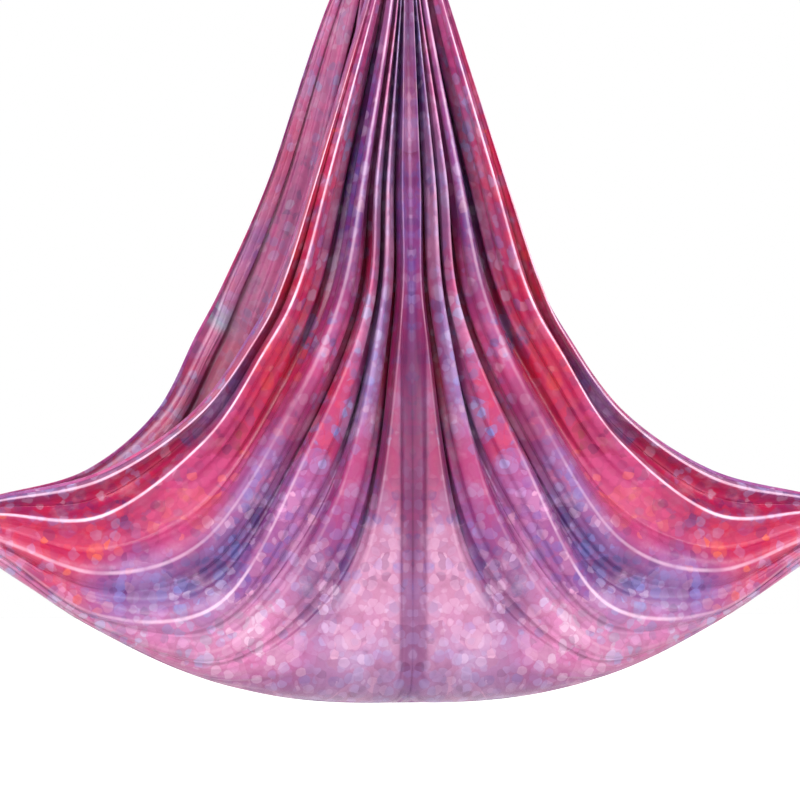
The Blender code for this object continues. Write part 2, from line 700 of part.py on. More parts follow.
def lower_eye(spin):
    """The swivel's lower half: shaft, flange and stirrup in one forging."""
    top = NUT_BOTTOM + NUT_HEIGHT + CLEARANCE
    neck_foot = STIRRUP_TOP - STIRRUP_EMBED
    flange_low = FLANGE_TOP - FLANGE_THICKNESS
    profile = [(0.0, top), (STEM_RADIUS, top), (STEM_RADIUS, FLANGE_TOP), (FLANGE_RADIUS, FLANGE_TOP)]
    profile += [(FLANGE_RADIUS, flange_low), (NECK_RADIUS, flange_low)]
    profile += [(STIRRUP_BAR_RADIUS, neck_foot), (0.0, neck_foot)]
    shaft = turned("swivel_lower_eye", profile, steel(), spin, 32)
    points = stirrup_points()
    stirrup = tube("stirrup", points, STIRRUP_BAR_RADIUS, None, spin, closed=True, sides=10)
    combine(shaft, stirrup, "UNION")
    combine(shaft, nut_pin_hole("shaft_pin_bore", spin), "DIFFERENCE")
    return shaft


def height_on_bar():
    """Where the stirrup's bar crosses a splayed carabiner, up its own frame."""
    apart = ROD_RADIUS + CLEARANCE + STIRRUP_BAR_RADIUS
    return SMALL_BOW[1] + SMALL_BOW_RADIUS - apart / math.cos(CARABINER_SPLAY)


def hung_carabiner(prefix, side, swing):
    """A carabiner on the stirrup's bar, splayed to its side by the knot under it."""
    place = Matrix.Translation((0.0, side * CARABINER_SPREAD, 0.0))
    place @= Matrix.Rotation(side * CARABINER_SPLAY, 4, "X")
    return carabiner(prefix, place @ Matrix.Translation((0.0, 0.0, -height_on_bar())), swing)


def bend(start, end, steps):
    """Points of an S bend between two places, upright at both ends."""
    points = []
    for i in range(steps + 1):
        share = i / steps
        ease = share * share * (3 - 2 * share)
        points.append((0.0, start[0] + (end[0] - start[0]) * ease, start[1] + (end[1] - start[1]) * share))
    return points


def knot_points(side):
    """The knotted end's path about its carabiner's bow, and how much it is squeezed at each point."""
    squeezed = ROPE_RADIUS * BOW_SQUEEZE_SHARE
    over = ROD_RADIUS + 2 * CLEARANCE + squeezed
    wrap = 2 * ROPE_RADIUS + WRAP_GAP
    outer = side * over
    points = [(0.0, 0.0, -KNOT_LENGTH), (0.0, 0.0, -(KNOT_LENGTH + BEND_LENGTH) / 2)]
    points += bend((0.0, -BEND_LENGTH), (outer, 0.0), 4)
    crown = arc((0.0, 0.0), over, 0.0, math.pi, 8)
    points += [(0.0, side * y, z) for y, z in crown[1:-1]]
    points += bend((-outer, 0.0), (-side * wrap, -KNOT_TOP), 3)
    steps = round(WRAPS * WRAP_STEPS)
    for i in range(1, steps + 1):
        angle = 2 * math.pi * WRAPS * i / steps
        height = -KNOT_TOP - WRAP_PITCH * WRAPS * i / steps
        points.append((wrap * math.sin(angle), -side * wrap * math.cos(angle), height))
    last = Vector(points[-1])
    for i in range(1, 5):
        points.append(tuple(last - Vector((0.0, 0.0, TAIL_LENGTH * i / 4))))
    reach = [1.0 if z < -KNOT_TOP else BOW_SQUEEZE_SHARE for _, _, z in points]
    return points, reach


def knot(name, side, body):
    """One end of the sheet, gathered to a rope and hitched on its carabiner."""
    bow = empty(f"{name}_bow", Matrix.Translation((0.0, 0.0, WIDE_BOW[1] - WIDE_BOW_RADIUS)), body)
    points, reach = knot_points(side)
    print(f"{name}: least gap to itself {1000 * least_gap(points, reach):.2f} mm")
    return tube(name, points, ROPE_RADIUS, tricot(), bow, sides=8, radii=reach)


def least_gap(points, reach):
    """The least gap of a tube to itself, between stretches that aren't neighbours on it."""
    path = [Vector(p) for p in points]
    along = [0.0]
    for a, b in zip(path, path[1:]):
        along.append(along[-1] + (b - a).length)
    least = math.inf
    for i in range(len(path) - 1):
        for j in range(i + 1, len(path) - 1):
            if along[j] - along[i + 1] < math.pi * ROPE_RADIUS:
                continue
            widest = ROPE_RADIUS * (max(reach[i : i + 2]) + max(reach[j : j + 2]))
            near = segment_gap(path[i], path[i + 1], path[j], path[j + 1])
            least = min(least, near - widest)
    return least


def segment_gap(a, b, c, d):
    """The distance between two short segments, from points spaced along both."""
    shares = [i / 4 for i in range(5)]
    return min((a.lerp(b, s) - c.lerp(d, t)).length for s in shares for t in shares)


def spline_at(points, place):
    """A smooth curve through points, read at a place counted in points from the first."""
    last = len(points) - 1
    i = min(int(place), last - 1)
    t = place - i
    before = Vector(points[max(i - 1, 0)])
    start = Vector(points[i])
    end = Vector(points[i + 1])
    after = Vector(points[min(i + 2, last)])
    return 0.5 * (
        2 * start
        + (end - before) * t
        + (2 * before - 5 * start + 4 * end - after) * t**2
        + (3 * start - before - 3 * end + after) * t**3
    )


def bottom(out):
    """How far down the bottom fold lies, out from the centre."""
    curve = 1 + FOLD_CURVE_SHARE * (1 - out)
    return 1 - FOLD_RISE_SHARE * out**3 * curve


def ease(share):
    """A smooth step from 0 to 1."""
    share = min(max(share, 0.0), 1.0)
    return share * share * (3 - 2 * share)


def throat():
    """Where the rear knot lets the sheet go, under the rig."""
    reach = height_on_bar() + WIDE_BOW_RADIUS - WIDE_BOW[1] + KNOT_LENGTH
    out = CARABINER_SPREAD + reach * math.sin(CARABINER_SPLAY)
    half_depth = RIDGE_SHARES[-1][0][2] * PLEAT_DEPTH + CLOTH_THICKNESS / 2
    inner = ROPE_RADIUS * math.sin(RIG_TURN) + half_depth * math.cos(RIG_TURN)
    tilt = inner * math.tan(CARABINER_SPLAY)
    down = STIRRUP_BAR - reach * math.cos(CARABINER_SPLAY) - tilt - CLEARANCE
    return Vector((-out * math.sin(RIG_TURN), out * math.cos(RIG_TURN), down))


def sheet_lines():
    """The sheet's lines: each ridge and the valley after it, none beside the rolled edge."""
    centre = len(RIDGE_SHARES) - 1
    pleats = [(ridge, valley) for ridge in range(1, centre) for valley in (False, True)]
    return [(0, False), *pleats, (centre, False)]


def line_shares(line, place):
    """Where a line of the sheet passes a place: outwards, downwards and its relief, as shares."""
    lines = sheet_lines()
    ridge, between = lines[line]
    shares = spline_at(RIDGE_SHARES[ridge], place)
    if between:
        other = spline_at(RIDGE_SHARES[ridge + 1], place)
        shares = (shares + other) / 2
        shares.z = -shares.z
    out = max(0.0, shares.x)
    if line == len(lines) - 1 and place >= FOLD_STATION:
        return out, bottom(out), 0.0
    return out, min(shares.y, bottom(out)), shares.z


def smooth_sheet(out, down):
    """The unpleated panel: its depth from the loop's middle plane, and how far it has turned under."""
    belly = throat().y + (BELLY_DEPTH - throat().y) * ease(down / BELLY_SHARE)
    depth = TIP_DEPTH + (belly - TIP_DEPTH) * max(0.0, 1 - out) ** WING_POWER_SHARE
    radius = FOLD_RADIUS * (1 - out / 2)
    above = (bottom(out) - down) * DROP
    under = math.asin(1 - above / radius) if above < radius else 0.0
    return depth * math.cos(under), under


def sheet_point(line, place, front, left, layer):
    """A point of the sheet on one of its lines, on its outer or its inner face."""
    out, down, relief = line_shares(line, place)
    depth, under = smooth_sheet(out, down)
    relief = relief * PLEAT_DEPTH + layer * CLOTH_THICKNESS / 2
    knot_x = -throat().x if front else throat().x
    centre = CENTRE_X + (knot_x - CENTRE_X) * max(0.0, 1 - down / TIP_DOWN_SHARE)
    if not front:
        lean, width = spline_at(REAR_SHARES, place)
        inward = 1 - line / (len(sheet_lines()) - 1)
        fixed = ease(place - FOLD_STATION + 1)
        centre += lean * HALF_SPREAD * (1 + (inward - 1) * fixed)
        out *= 1 + (width - 1) * inward
    x = centre + (-out if left else out) * HALF_SPREAD
    y = depth + relief * math.cos(under)
    z = throat().z - down * DROP - relief * math.sin(under)
    return Vector((x, -y if front else y, z))


def panel_faces(work, front, left):
    """Half of one panel as a closed strip of faces, outside, inside and along its free edges."""
    lines = range(len(sheet_lines()))
    places = ROW_PLACE_SHARES
    layers = []
    for layer in (1, -1):
        grid = []
        for place in places:
            points = [sheet_point(n, place, front, left, layer) for n in lines]
            grid.append([work.verts.new(point) for point in points])
        layers.append(grid)
        for i in range(len(places) - 1):
            for j in lines[:-1]:
                work.faces.new((grid[i][j], grid[i + 1][j], grid[i + 1][j + 1], grid[i][j + 1]))
    outer, inner = layers
    for i in range(len(places) - 1):
        work.faces.new((outer[i][0], outer[i + 1][0], inner[i + 1][0], inner[i][0]))
    for j in lines[:-1]:
        for i in (0, -1):
            work.faces.new((outer[i][j], outer[i][j + 1], inner[i][j + 1], inner[i][j]))


def cloth():
    """The sheet as a thin closed shell: front and rear panels, joined along the bottom fold."""
    work = bmesh.new()
    for front in (True, False):
        for left in (True, False):
            panel_faces(work, front, left)
    bmesh.ops.remove_doubles(work, verts=work.verts, dist=WELD)
    bmesh.ops.recalc_face_normals(work, faces=work.faces)
    mesh = bpy.data.meshes.new("hammock_cloth")
    work.to_mesh(mesh)
    work.free()
    smooth(mesh)
    return add("hammock_cloth", mesh, tricot())


def swivel(rig, spin):
    """The ball bearing swivel between the anchor carabiner and the stirrup."""
    upper_eye(rig)
    swivel_cover(rig)
    lower_race(rig)
    ball_cage(spin)
    upper_race(spin)
    shaft_nut(spin)
    nut_pin(spin)
    seal(spin)
    lower_eye(spin)


def build():
    """Hangs every piece, from the ceiling's point down to the sheet."""
    clear_scene()
    rig = empty("rig", Matrix.Rotation(RIG_TURN, 4, "Z"))
    upside_down = Matrix.Translation((0.0, 0.0, ANCHOR_CENTRE)) @ Matrix.Rotation(math.pi, 4, "Y")
    carabiner("anchor_carabiner", upside_down, rig)
    spin = empty("swivel_spin", Matrix(), rig)
    swivel(rig, spin)
    swing = empty("hammock_swing", Matrix.Translation((0.0, 0.0, STIRRUP_BAR)), spin)
    for prefix, name, side in (("front_carabiner", "front_knot", -1), ("rear_carabiner", "rear_knot", 1)):
        body = hung_carabiner(prefix, side, swing)
        knot(name, side, body)
    cloth()


build()
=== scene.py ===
"""An aerial hammock of printed tricot, hung on one point and drawn out to both sides.

Lengths are in metres, +Z is up, -Y is the front, and the origin is where the ceiling's fixing
carries the top carabiner.
"""

from __future__ import annotations

import json
import logging
import math
from dataclasses import dataclass, field
from enum import Enum

import bmesh
import bpy
import numpy as np
from mathutils import Matrix, Vector

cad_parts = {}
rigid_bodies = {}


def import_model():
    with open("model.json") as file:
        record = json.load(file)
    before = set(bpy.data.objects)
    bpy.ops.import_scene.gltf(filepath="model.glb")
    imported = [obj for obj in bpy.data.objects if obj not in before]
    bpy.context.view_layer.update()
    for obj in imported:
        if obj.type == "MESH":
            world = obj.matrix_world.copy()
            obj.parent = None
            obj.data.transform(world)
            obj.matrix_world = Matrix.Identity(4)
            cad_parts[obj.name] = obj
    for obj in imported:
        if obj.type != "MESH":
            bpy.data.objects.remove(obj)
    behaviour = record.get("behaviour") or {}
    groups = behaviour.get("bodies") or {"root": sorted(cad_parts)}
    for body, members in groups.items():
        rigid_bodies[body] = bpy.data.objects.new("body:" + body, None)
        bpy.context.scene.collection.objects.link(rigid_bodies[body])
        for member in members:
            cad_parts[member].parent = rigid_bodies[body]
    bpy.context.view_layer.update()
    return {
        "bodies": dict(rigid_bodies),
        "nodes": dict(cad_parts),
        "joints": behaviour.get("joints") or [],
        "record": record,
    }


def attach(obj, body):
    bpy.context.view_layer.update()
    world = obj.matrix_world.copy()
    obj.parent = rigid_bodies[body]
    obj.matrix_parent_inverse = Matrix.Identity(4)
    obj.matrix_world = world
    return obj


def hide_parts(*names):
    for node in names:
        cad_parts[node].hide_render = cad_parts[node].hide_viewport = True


LOG = logging.getLogger("hammock")
Array = np.ndarray
Colour = tuple[float, float, float]
Shell = tuple[Array, list]
Value = bpy.types.NodeSocket | float | tuple


class Side(Enum):
    """Which way a half of the sheet is drawn out, seen from the front."""

    LEFT = -1
    RIGHT = 1


class Panel(Enum):
    """The two panels of the loop, by the sign of their Y."""

    FRONT = -1
    REAR = 1


def ease(share: Array | float) -> Array:
    """A smooth step from 0 to 1."""
    share = np.clip(share, 0.0, 1.0)
    return share * share * (3.0 - 2.0 * share)


def rising(value: Array, start: float, reach: float) -> Array:
    """A smooth step from 0 at a start to 1 a reach further on."""
    return ease((value - start) / reach)


def catmull(table: Array, place: Array) -> Array:
    """Reads a smooth curve through a table's rows.

    Args:
        table: Values at the stations, one row each.
        place: Places counted in stations from the first.

    Returns:
        One row of values for each place.
    """
    last = len(table) - 1
    index = np.clip(place.astype(int), 0, last - 1)
    t = (place - index).reshape(-1, *([1] * (table.ndim - 1)))
    before, start = table[np.maximum(index - 1, 0)], table[index]
    end, after = table[index + 1], table[np.minimum(index + 2, last)]
    return 0.5 * (
        2 * start
        + (end - before) * t
        + (2 * before - 5 * start + 4 * end - after) * t**2
        + (3 * start - before - 3 * end + after) * t**3
    )


def linear(colour: tuple[int, int, int]) -> Colour:
    """A colour of 0 to 255 as the shader's linear values."""
    shares = [c / 255 for c in colour]
    return tuple(c / 12.92 if c <= 0.04045 else ((c + 0.055) / 1.055) ** 2.4 for c in shares)


def mesh_object(name: str, points: Array, faces: list, smooth: bool = True) -> bpy.types.Object:
    """Makes an object from points and faces.

    Args:
        name: The object's name.
        points: The mesh's points in the row frame.
        faces: Tuples of point numbers.
        smooth: Whether the faces are shaded smooth.

    Returns:
        The object, linked to the scene.
    """
    mesh = bpy.data.meshes.new(name)
    mesh.from_pydata(points.tolist(), [], faces)
    mesh.validate()
    if smooth:
        mesh.shade_smooth()
    return linked(bpy.data.objects.new(name, mesh))


def linked(obj: bpy.types.Object) -> bpy.types.Object:
    """Puts an object into the scene."""
    bpy.context.scene.collection.objects.link(obj)
    return obj


def cleaned(obj: bpy.types.Object, weld: float = 0.0, outward: bool = True) -> None:
    """Welds a mesh's near points and turns its faces outwards.

    Args:
        obj: The mesh's object.
        weld: How near two points are to become one; 0 leaves them.
        outward: Whether the faces are turned.
    """
    work = bmesh.new()
    work.from_mesh(obj.data)
    if weld:
        bmesh.ops.remove_doubles(work, verts=work.verts, dist=weld)
    if outward:
        bmesh.ops.recalc_face_normals(work, faces=work.faces)
    work.to_mesh(obj.data)
    work.free()


def travelled(points: Array, axis: int = 0) -> Array:
    """The lengths along lines of points, from 0 at their first points."""
    steps = np.linalg.norm(np.diff(points, axis=axis), axis=-1)
    return np.insert(steps.cumsum(axis=axis), 0, 0.0, axis=axis)


def with_fourth(colour: Array, value: float) -> Array:
    """Rows of three values with a fourth one added to each."""
    return np.concatenate([colour, np.full((*colour.shape[:-1], 1), value)], axis=-1)


class NodeWriter:
    """A short way to write a node tree."""

    def __init__(self, tree: bpy.types.NodeTree, prefix: str = "ShaderNode") -> None:
        """Starts on a tree, with what its nodes' types begin with."""
        self.tree = tree
        self.prefix = prefix

    def node(self, kind: str, inputs: dict | None = None, **settings) -> bpy.types.Node:
        """Adds a node.

        Args:
            kind: The node's type without its prefix.
            inputs: Values or output sockets for its inputs, by name or number.
            settings: Attributes of the node.

        Returns:
            The new node.
        """
        made = self.tree.nodes.new(f"{self.prefix}{kind}")
        for key, value in settings.items():
            setattr(made, key, value)
        self.feed(made, inputs or {})
        return made

    def feed(self, node: bpy.types.Node, inputs: dict[str | int, Value]) -> None:
        """Links or sets a node's inputs, given by name or number."""
        for key, value in inputs.items():
            socket = node.inputs[key]
            if isinstance(value, bpy.types.NodeSocket):
                self.tree.links.new(value, socket)
            elif socket.type == "RGBA":
                socket.default_value = (*value[:3], 1.0)
            else:
                socket.default_value = value

    def maths(self, operation: str, a: Value, b: Value = 0.0, c: Value = 0.0) -> bpy.types.NodeSocket:
        """Adds a Math node and gives its output."""
        return self.node("Math", {0: a, 1: b, 2: c}, operation=operation).outputs[0]

    def times(self, value: Value, *factors: Value) -> bpy.types.NodeSocket:
        """The product of several values."""
        for factor in factors:
            value = self.maths("MULTIPLY", value, factor)
        return value

    def ramp(self, value: Value, low: Value, high: Value) -> bpy.types.NodeSocket:
        """A smooth mask that goes from 0 at low to 1 at high."""
        inputs = {"Value": value, "From Min": low, "From Max": high}
        return self.node("MapRange", inputs, interpolation_type="SMOOTHSTEP").outputs["Result"]

    def blend(self, factor: Value, a: Value, b: Value, kind: str = "MIX") -> bpy.types.NodeSocket:
        """Mixes two colours and gives the result."""
        return self.node("Mix", {0: factor, 6: a, 7: b}, data_type="RGBA", blend_type=kind).outputs[2]

    def bump(self, height: Value, strength: float, distance: float) -> bpy.types.NodeSocket:
        """The normals of a height."""
        return self.node("Bump", {"Height": height, "Strength": strength, "Distance": distance}).outputs[0]


def surface(name: str) -> tuple[bpy.types.Material, NodeWriter, bpy.types.Node]:
    """A new material, its node writer and its Principled BSDF."""
    made = bpy.data.materials.new(name)
    made.use_nodes = True
    return made, NodeWriter(made.node_tree), made.node_tree.nodes["Principled BSDF"]


def node_group(
    name: str, inputs: dict[str, str], outputs: dict[str, str]
) -> tuple[bpy.types.NodeTree, NodeWriter, bpy.types.Node, bpy.types.Node]:
    """Makes an empty shader group with named sockets.

    Args:
        name: The group's name.
        inputs: Socket kinds by input name.
        outputs: Socket kinds by output name.

    Returns:
        The group, a NodeWriter on it, its input node and its output node.
    """
    group = bpy.data.node_groups.new(name, "ShaderNodeTree")
    for label, kind in inputs.items():
        group.interface.new_socket(label, in_out="INPUT", socket_type=f"NodeSocket{kind}")
    for label, kind in outputs.items():
        group.interface.new_socket(label, in_out="OUTPUT", socket_type=f"NodeSocket{kind}")
    entry = group.nodes.new("NodeGroupInput")
    leave = group.nodes.new("NodeGroupOutput")
    return group, NodeWriter(group), entry, leave


def dab_group() -> bpy.types.NodeTree:
    """The watercolour dabs: soft round petals, each with its own chance values and a dried rim."""
    found = bpy.data.node_groups.get("colour_dabs")
    if found:
        return found
    inputs = {"Vector": "Vector", "Scale": "Float", "Wander": "Float"}
    outputs = {"Chance": "Float", "Tint": "Float", "Rim": "Float", "Mask": "Float"}
    group, make, entry, leave = node_group("colour_dabs", inputs, outputs)
    spot, scale = entry.outputs["Vector"], entry.outputs["Scale"]
    noise = make.node("TexNoise", {"Vector": spot, "Detail": 3.0, "Scale": make.times(scale, 1.1)})
    centred = make.node("VectorMath", {0: noise.outputs["Color"], 1: (0.5, 0.5, 0.5)}, operation="SUBTRACT")
    wander = {0: centred.outputs[0], "Scale": entry.outputs["Wander"]}
    shift = make.node("VectorMath", wander, operation="SCALE").outputs[0]
    moved = make.node("VectorMath", {0: spot, 1: shift}, operation="ADD").outputs[0]
    cells = make.node("TexVoronoi", {"Vector": moved, "Randomness": 0.9, "Scale": scale})
    parts = make.node("SeparateColor", {"Color": cells.outputs["Color"]}).outputs
    size = make.maths("MULTIPLY_ADD", parts["Blue"], 0.16, 0.56)
    soft = make.maths("SUBTRACT", size, 0.16)
    inside = make.maths("SUBTRACT", cells.outputs["Distance"], make.maths("SUBTRACT", size, 0.05))
    results = {
        "Chance": parts["Red"],
        "Tint": parts["Green"],
        "Rim": make.ramp(make.maths("ABSOLUTE", inside), 0.055, 0.0),
        "Mask": make.ramp(cells.outputs["Distance"], size, soft),
    }
    make.feed(leave, results)
    return group


def knit_group() -> bpy.types.NodeTree:
    """The height of tricot's fine ribs, with soft strain wrinkles along the sheet."""
    found = bpy.data.node_groups.get("tricot_knit")
    if found:
        return found
    inputs = {"Vector": "Vector", "Rib": "Float", "Strain": "Float"}
    group, make, entry, leave = node_group("tricot_knit", inputs, {"Height": "Float"})
    place = entry.outputs["Vector"]
    waves = {"Vector": place, "Distortion": 0.6, "Scale": entry.outputs["Rib"]}
    ribs = make.node("TexWave", waves, bands_direction="X")
    drawn = make.node("Mapping", {"Vector": place, "Scale": (1.0, 0.07, 1.0)}).outputs[0]
    wrinkles = {"Vector": drawn, "Detail": 4.0, "Roughness": 0.55, "Scale": entry.outputs["Strain"]}
    strain = make.node("TexNoise", wrinkles)
    make.feed(leave, {"Height": make.maths("ADD", make.times(ribs.outputs["Fac"], 0.05), strain.outputs["Fac"])})
    return group


@dataclass(frozen=True)
class DabLayer:
    """One scale of the print's dabs.

    Attributes:
        count: Dabs to a metre of cloth.
        wander: How far their outlines stray, in metres.
        offset: Where the layer takes its pattern from.
        strength: How far its dabs depart from the ground.
        whole: Whether each dab fills its cell.
    """

    count: float
    wander: float
    offset: float
    strength: float
    whole: bool = False


@dataclass(frozen=True)
class DabTone:
    """A colour that some of a layer's dabs take.

    Attributes:
        chance: The dab group's output that chooses them.
        low: The chance at which the colour starts.
        high: The chance at which it is full.
        strength: How strong it is.
        colour: Its colour, 0 to 255, or None for the place's accent.
        limit: What holds it back at a place: cool, ember or nothing.
    """

    chance: str
    low: float
    high: float
    strength: float
    colour: tuple[int, int, int] | None
    limit: str = ""


DAB_LAYERS = (
    DabLayer(9.0, 0.06, 0.0, 0.75, whole=True),
    DabLayer(20.0, 0.028, 2.3, 0.6),
    DabLayer(36.0, 0.015, 5.1, 0.6),
)
DAB_TONES = (
    DabTone("Tint", 0.5, 1.0, 0.55, (212, 176, 200), "cool"),
    DabTone("Tint", 0.42, 0.05, 0.7, (98, 30, 92)),
    DabTone("Chance", 0.58, 0.64, 0.9, None),
    DabTone("Chance", 0.2, 0.14, 0.5, (134, 122, 184), "cool"),
    DabTone("Chance", 0.94, 0.96, 0.75, (246, 130, 58), "ember"),
)
DAB_EDGE = (150, 30, 92)
BLOOM = (208, 174, 198)
STAIN = (106, 30, 84)
REVERSE_TINT = (150, 104, 146)
# The pink white of the painted highlight along the ridges.
RIDGE_HIGHLIGHT_TINT = (255, 218, 240)
SHEEN_TINT = (255, 215, 235)
# The colour that the painted shade down in the folds multiplies the print by.
FOLD_SHADE_TINT = (0.38, 0.12, 0.38)


@dataclass(frozen=True)
class TricotPrint:
    """Printed nylon tricot with the sheen of its right side.

    Attributes:
        sheen: Weight of the nylon's soft sheen.
        roughness: Roughness of the drawn yarn.
        reverse: How pale the reverse side is, 0 to 1.
        ridge_highlight: How strongly the painted highlight pales the yarn along a ridge, 0 to 1.
        shaded: How much painted shade darkens the print down in a fold, 0 to 1.
        ribs: The knit's ribs to a metre.
        wrinkles: Strain wrinkles to a metre.
        gap_tint: How strongly the dabs' edge colour shows between them.
        rim_tint: How strongly it shows on their dried rims.
    """

    sheen: float = 0.1
    roughness: float = 0.33
    reverse: float = 0.3
    ridge_highlight: float = 0.85
    shaded: float = 0.25
    ribs: float = 420.0
    wrinkles: float = 26.0
    gap_tint: float = 0.46
    rim_tint: float = 0.16

    def material(self, name: str) -> bpy.types.Material:
        """The cloth's material, its large colours read from the mesh's wash attribute."""
        made, make, shader = surface(name)
        flat = make.node("UVMap", uv_map="flat").outputs["UV"]
        facing = make.node("NewGeometry").outputs["Backfacing"]
        colour = make.blend(make.times(facing, self.reverse), self.colour(make), linear(REVERSE_TINT))
        sizes = {"Vector": flat, "Rib": self.ribs, "Strain": self.wrinkles}
        knit = make.node("Group", sizes, node_tree=knit_group())
        inputs = {
            "Base Color": self.drawn(make, colour, flat),
            "Normal": make.bump(knit.outputs["Height"], 0.35, 0.004),
            "Roughness": self.roughness,
            "Sheen Weight": self.sheen,
            "Sheen Roughness": 0.35,
            "Sheen Tint": linear(SHEEN_TINT),
            "Specular IOR Level": 0.4,
        }
        make.feed(shader, inputs)
        return made

    def drawn(self, make: NodeWriter, colour: bpy.types.NodeSocket, flat: bpy.types.NodeSocket) -> bpy.types.NodeSocket:
        """Paints a highlight along the ridges and shade down in the folds.

        Args:
            make: The material's node writer.
            colour: The print's colour.
            flat: Where a point lies on the flat sheet.

        Returns:
            The colour's socket.
        """
        # Painted shade: the fold attribute's blue channel tells how deep the cloth lies, and the colour is multiplied
        # darker there.
        fold = make.node("VertexColor", layer_name="fold").outputs["Color"]
        parts = make.node("SeparateColor", {"Color": fold}).outputs
        deep = make.maths("MINIMUM", make.times(parts["Blue"], self.shaded), 0.7)
        colour = make.blend(deep, colour, FOLD_SHADE_TINT, "MULTIPLY")
        # Painted highlight: the colour is paled towards pink white close to the shining ridges, broken up by a noise.
        crest = make.ramp(parts["Red"], 0.16, 0.02)
        broken = make.node("TexNoise", {"Vector": flat, "Scale": 7.0, "Detail": 4.0, "Roughness": 0.65})
        uneven = make.maths("MULTIPLY_ADD", make.ramp(broken.outputs["Fac"], 0.36, 0.6), 0.6, 0.4)
        highlight = make.times(crest, parts["Green"], self.ridge_highlight, uneven)
        return make.blend(highlight, colour, linear(RIDGE_HIGHLIGHT_TINT))

    def colour(self, make: NodeWriter) -> bpy.types.NodeSocket:
        """The print's colour: the washes, their dabs, and a mottle of blooms and stains.

        Args:
            make: The material's node writer.

        Returns:
            The colour's socket.
        """
        spot, wash, accent = (make.node("VertexColor", layer_name=n).outputs for n in ("spot", "wash", "accent"))
        ember = wash["Alpha"]
        cool = make.times(make.maths("MULTIPLY_ADD", ember, -0.8, 1.0), accent["Alpha"])
        colour = wash["Color"]
        for layer in DAB_LAYERS:
            moved = {"Vector": spot["Color"], "Location": (layer.offset, 1.7 * layer.offset, 0.6 * layer.offset)}
            place = make.node("Mapping", moved).outputs[0]
            sizes = {"Vector": place, "Scale": layer.count, "Wander": layer.wander}
            cell = make.node("Group", sizes, node_tree=dab_group()).outputs
            colour = self.dabs(make, colour, accent["Color"], cell, layer, {"cool": cool, "ember": ember})
        mottle = make.node("TexNoise", {"Vector": spot["Color"], "Scale": 13.0, "Detail": 6.0, "Roughness": 0.62})
        bloom = make.times(make.ramp(mottle.outputs["Fac"], 0.5, 0.78), cool, 0.34)
        stain = make.times(make.ramp(mottle.outputs["Fac"], 0.5, 0.24), 0.3)
        return make.blend(stain, make.blend(bloom, colour, linear(BLOOM)), linear(STAIN))

    def dabs(
        self,
        make: NodeWriter,
        ground: Value,
        accent: Value,
        cell: bpy.types.NodeOutputs,
        layer: DabLayer,
        limits: dict[str, bpy.types.NodeSocket],
    ) -> bpy.types.NodeSocket:
        """Lays one scale of dabs on a ground colour.

        Args:
            make: The material's node writer.
            ground: The colour under the dabs.
            accent: The place's second colour.
            cell: The dab group's outputs.
            layer: The layer.
            limits: How many dabs the place lets be pale or orange, by the tone's limit.

        Returns:
            The colour's socket.
        """
        colour = ground
        for tone in DAB_TONES:
            chosen = make.times(make.ramp(cell[tone.chance], tone.low, tone.high), tone.strength)
            if tone.limit:
                chosen = make.times(chosen, limits[tone.limit])
            colour = make.blend(chosen, colour, linear(tone.colour) if tone.colour else accent)
        mask = 1.0 if layer.whole else cell["Mask"]
        colour = make.blend(make.times(mask, layer.strength), ground, colour)
        between = make.maths("MULTIPLY_ADD", mask, -self.gap_tint, self.gap_tint)
        rim = make.maths("MULTIPLY_ADD", cell["Rim"], self.rim_tint, between)
        return make.blend(rim, colour, make.blend(0.5, accent, linear(DAB_EDGE)))


@dataclass(frozen=True)
class Wash:
    """One broad soft patch of the print.

    Attributes:
        line: Its middle across the sheet, counted in ridges from the selvedge.
        place: Its middle along the sheet, counted in stations from the knot.
        reach_line: Its spread across.
        reach_place: Its spread along.
        colour: Its colour, 0 to 255.
        accent: The colour of the chosen dabs on it.
        weight: Its strength against its neighbours.
        ember: How many of its dabs are orange, 0 to 1.
        paleness: How many of its dabs are pale, 0 to 1.
    """

    line: float
    place: float
    reach_line: float
    reach_place: float
    colour: tuple[int, int, int]
    accent: tuple[int, int, int]
    weight: float = 1.0
    ember: float = 0.0
    paleness: float = 0.9


CRIMSON = (192, 20, 66)
ROSE = (194, 64, 122)
CANDY = (200, 110, 164)
BLUSH = (200, 148, 180)
MAUVE = (152, 86, 144)
LILAC = (156, 138, 182)
PERIWINKLE = (112, 112, 182)
VIOLET = (92, 66, 146)
PLUM = (112, 34, 88)
WINE = (124, 14, 48)
CORAL = (190, 24, 62)
NAVY = (60, 42, 104)
GARNET = (166, 14, 56)
MINT = (146, 196, 196)

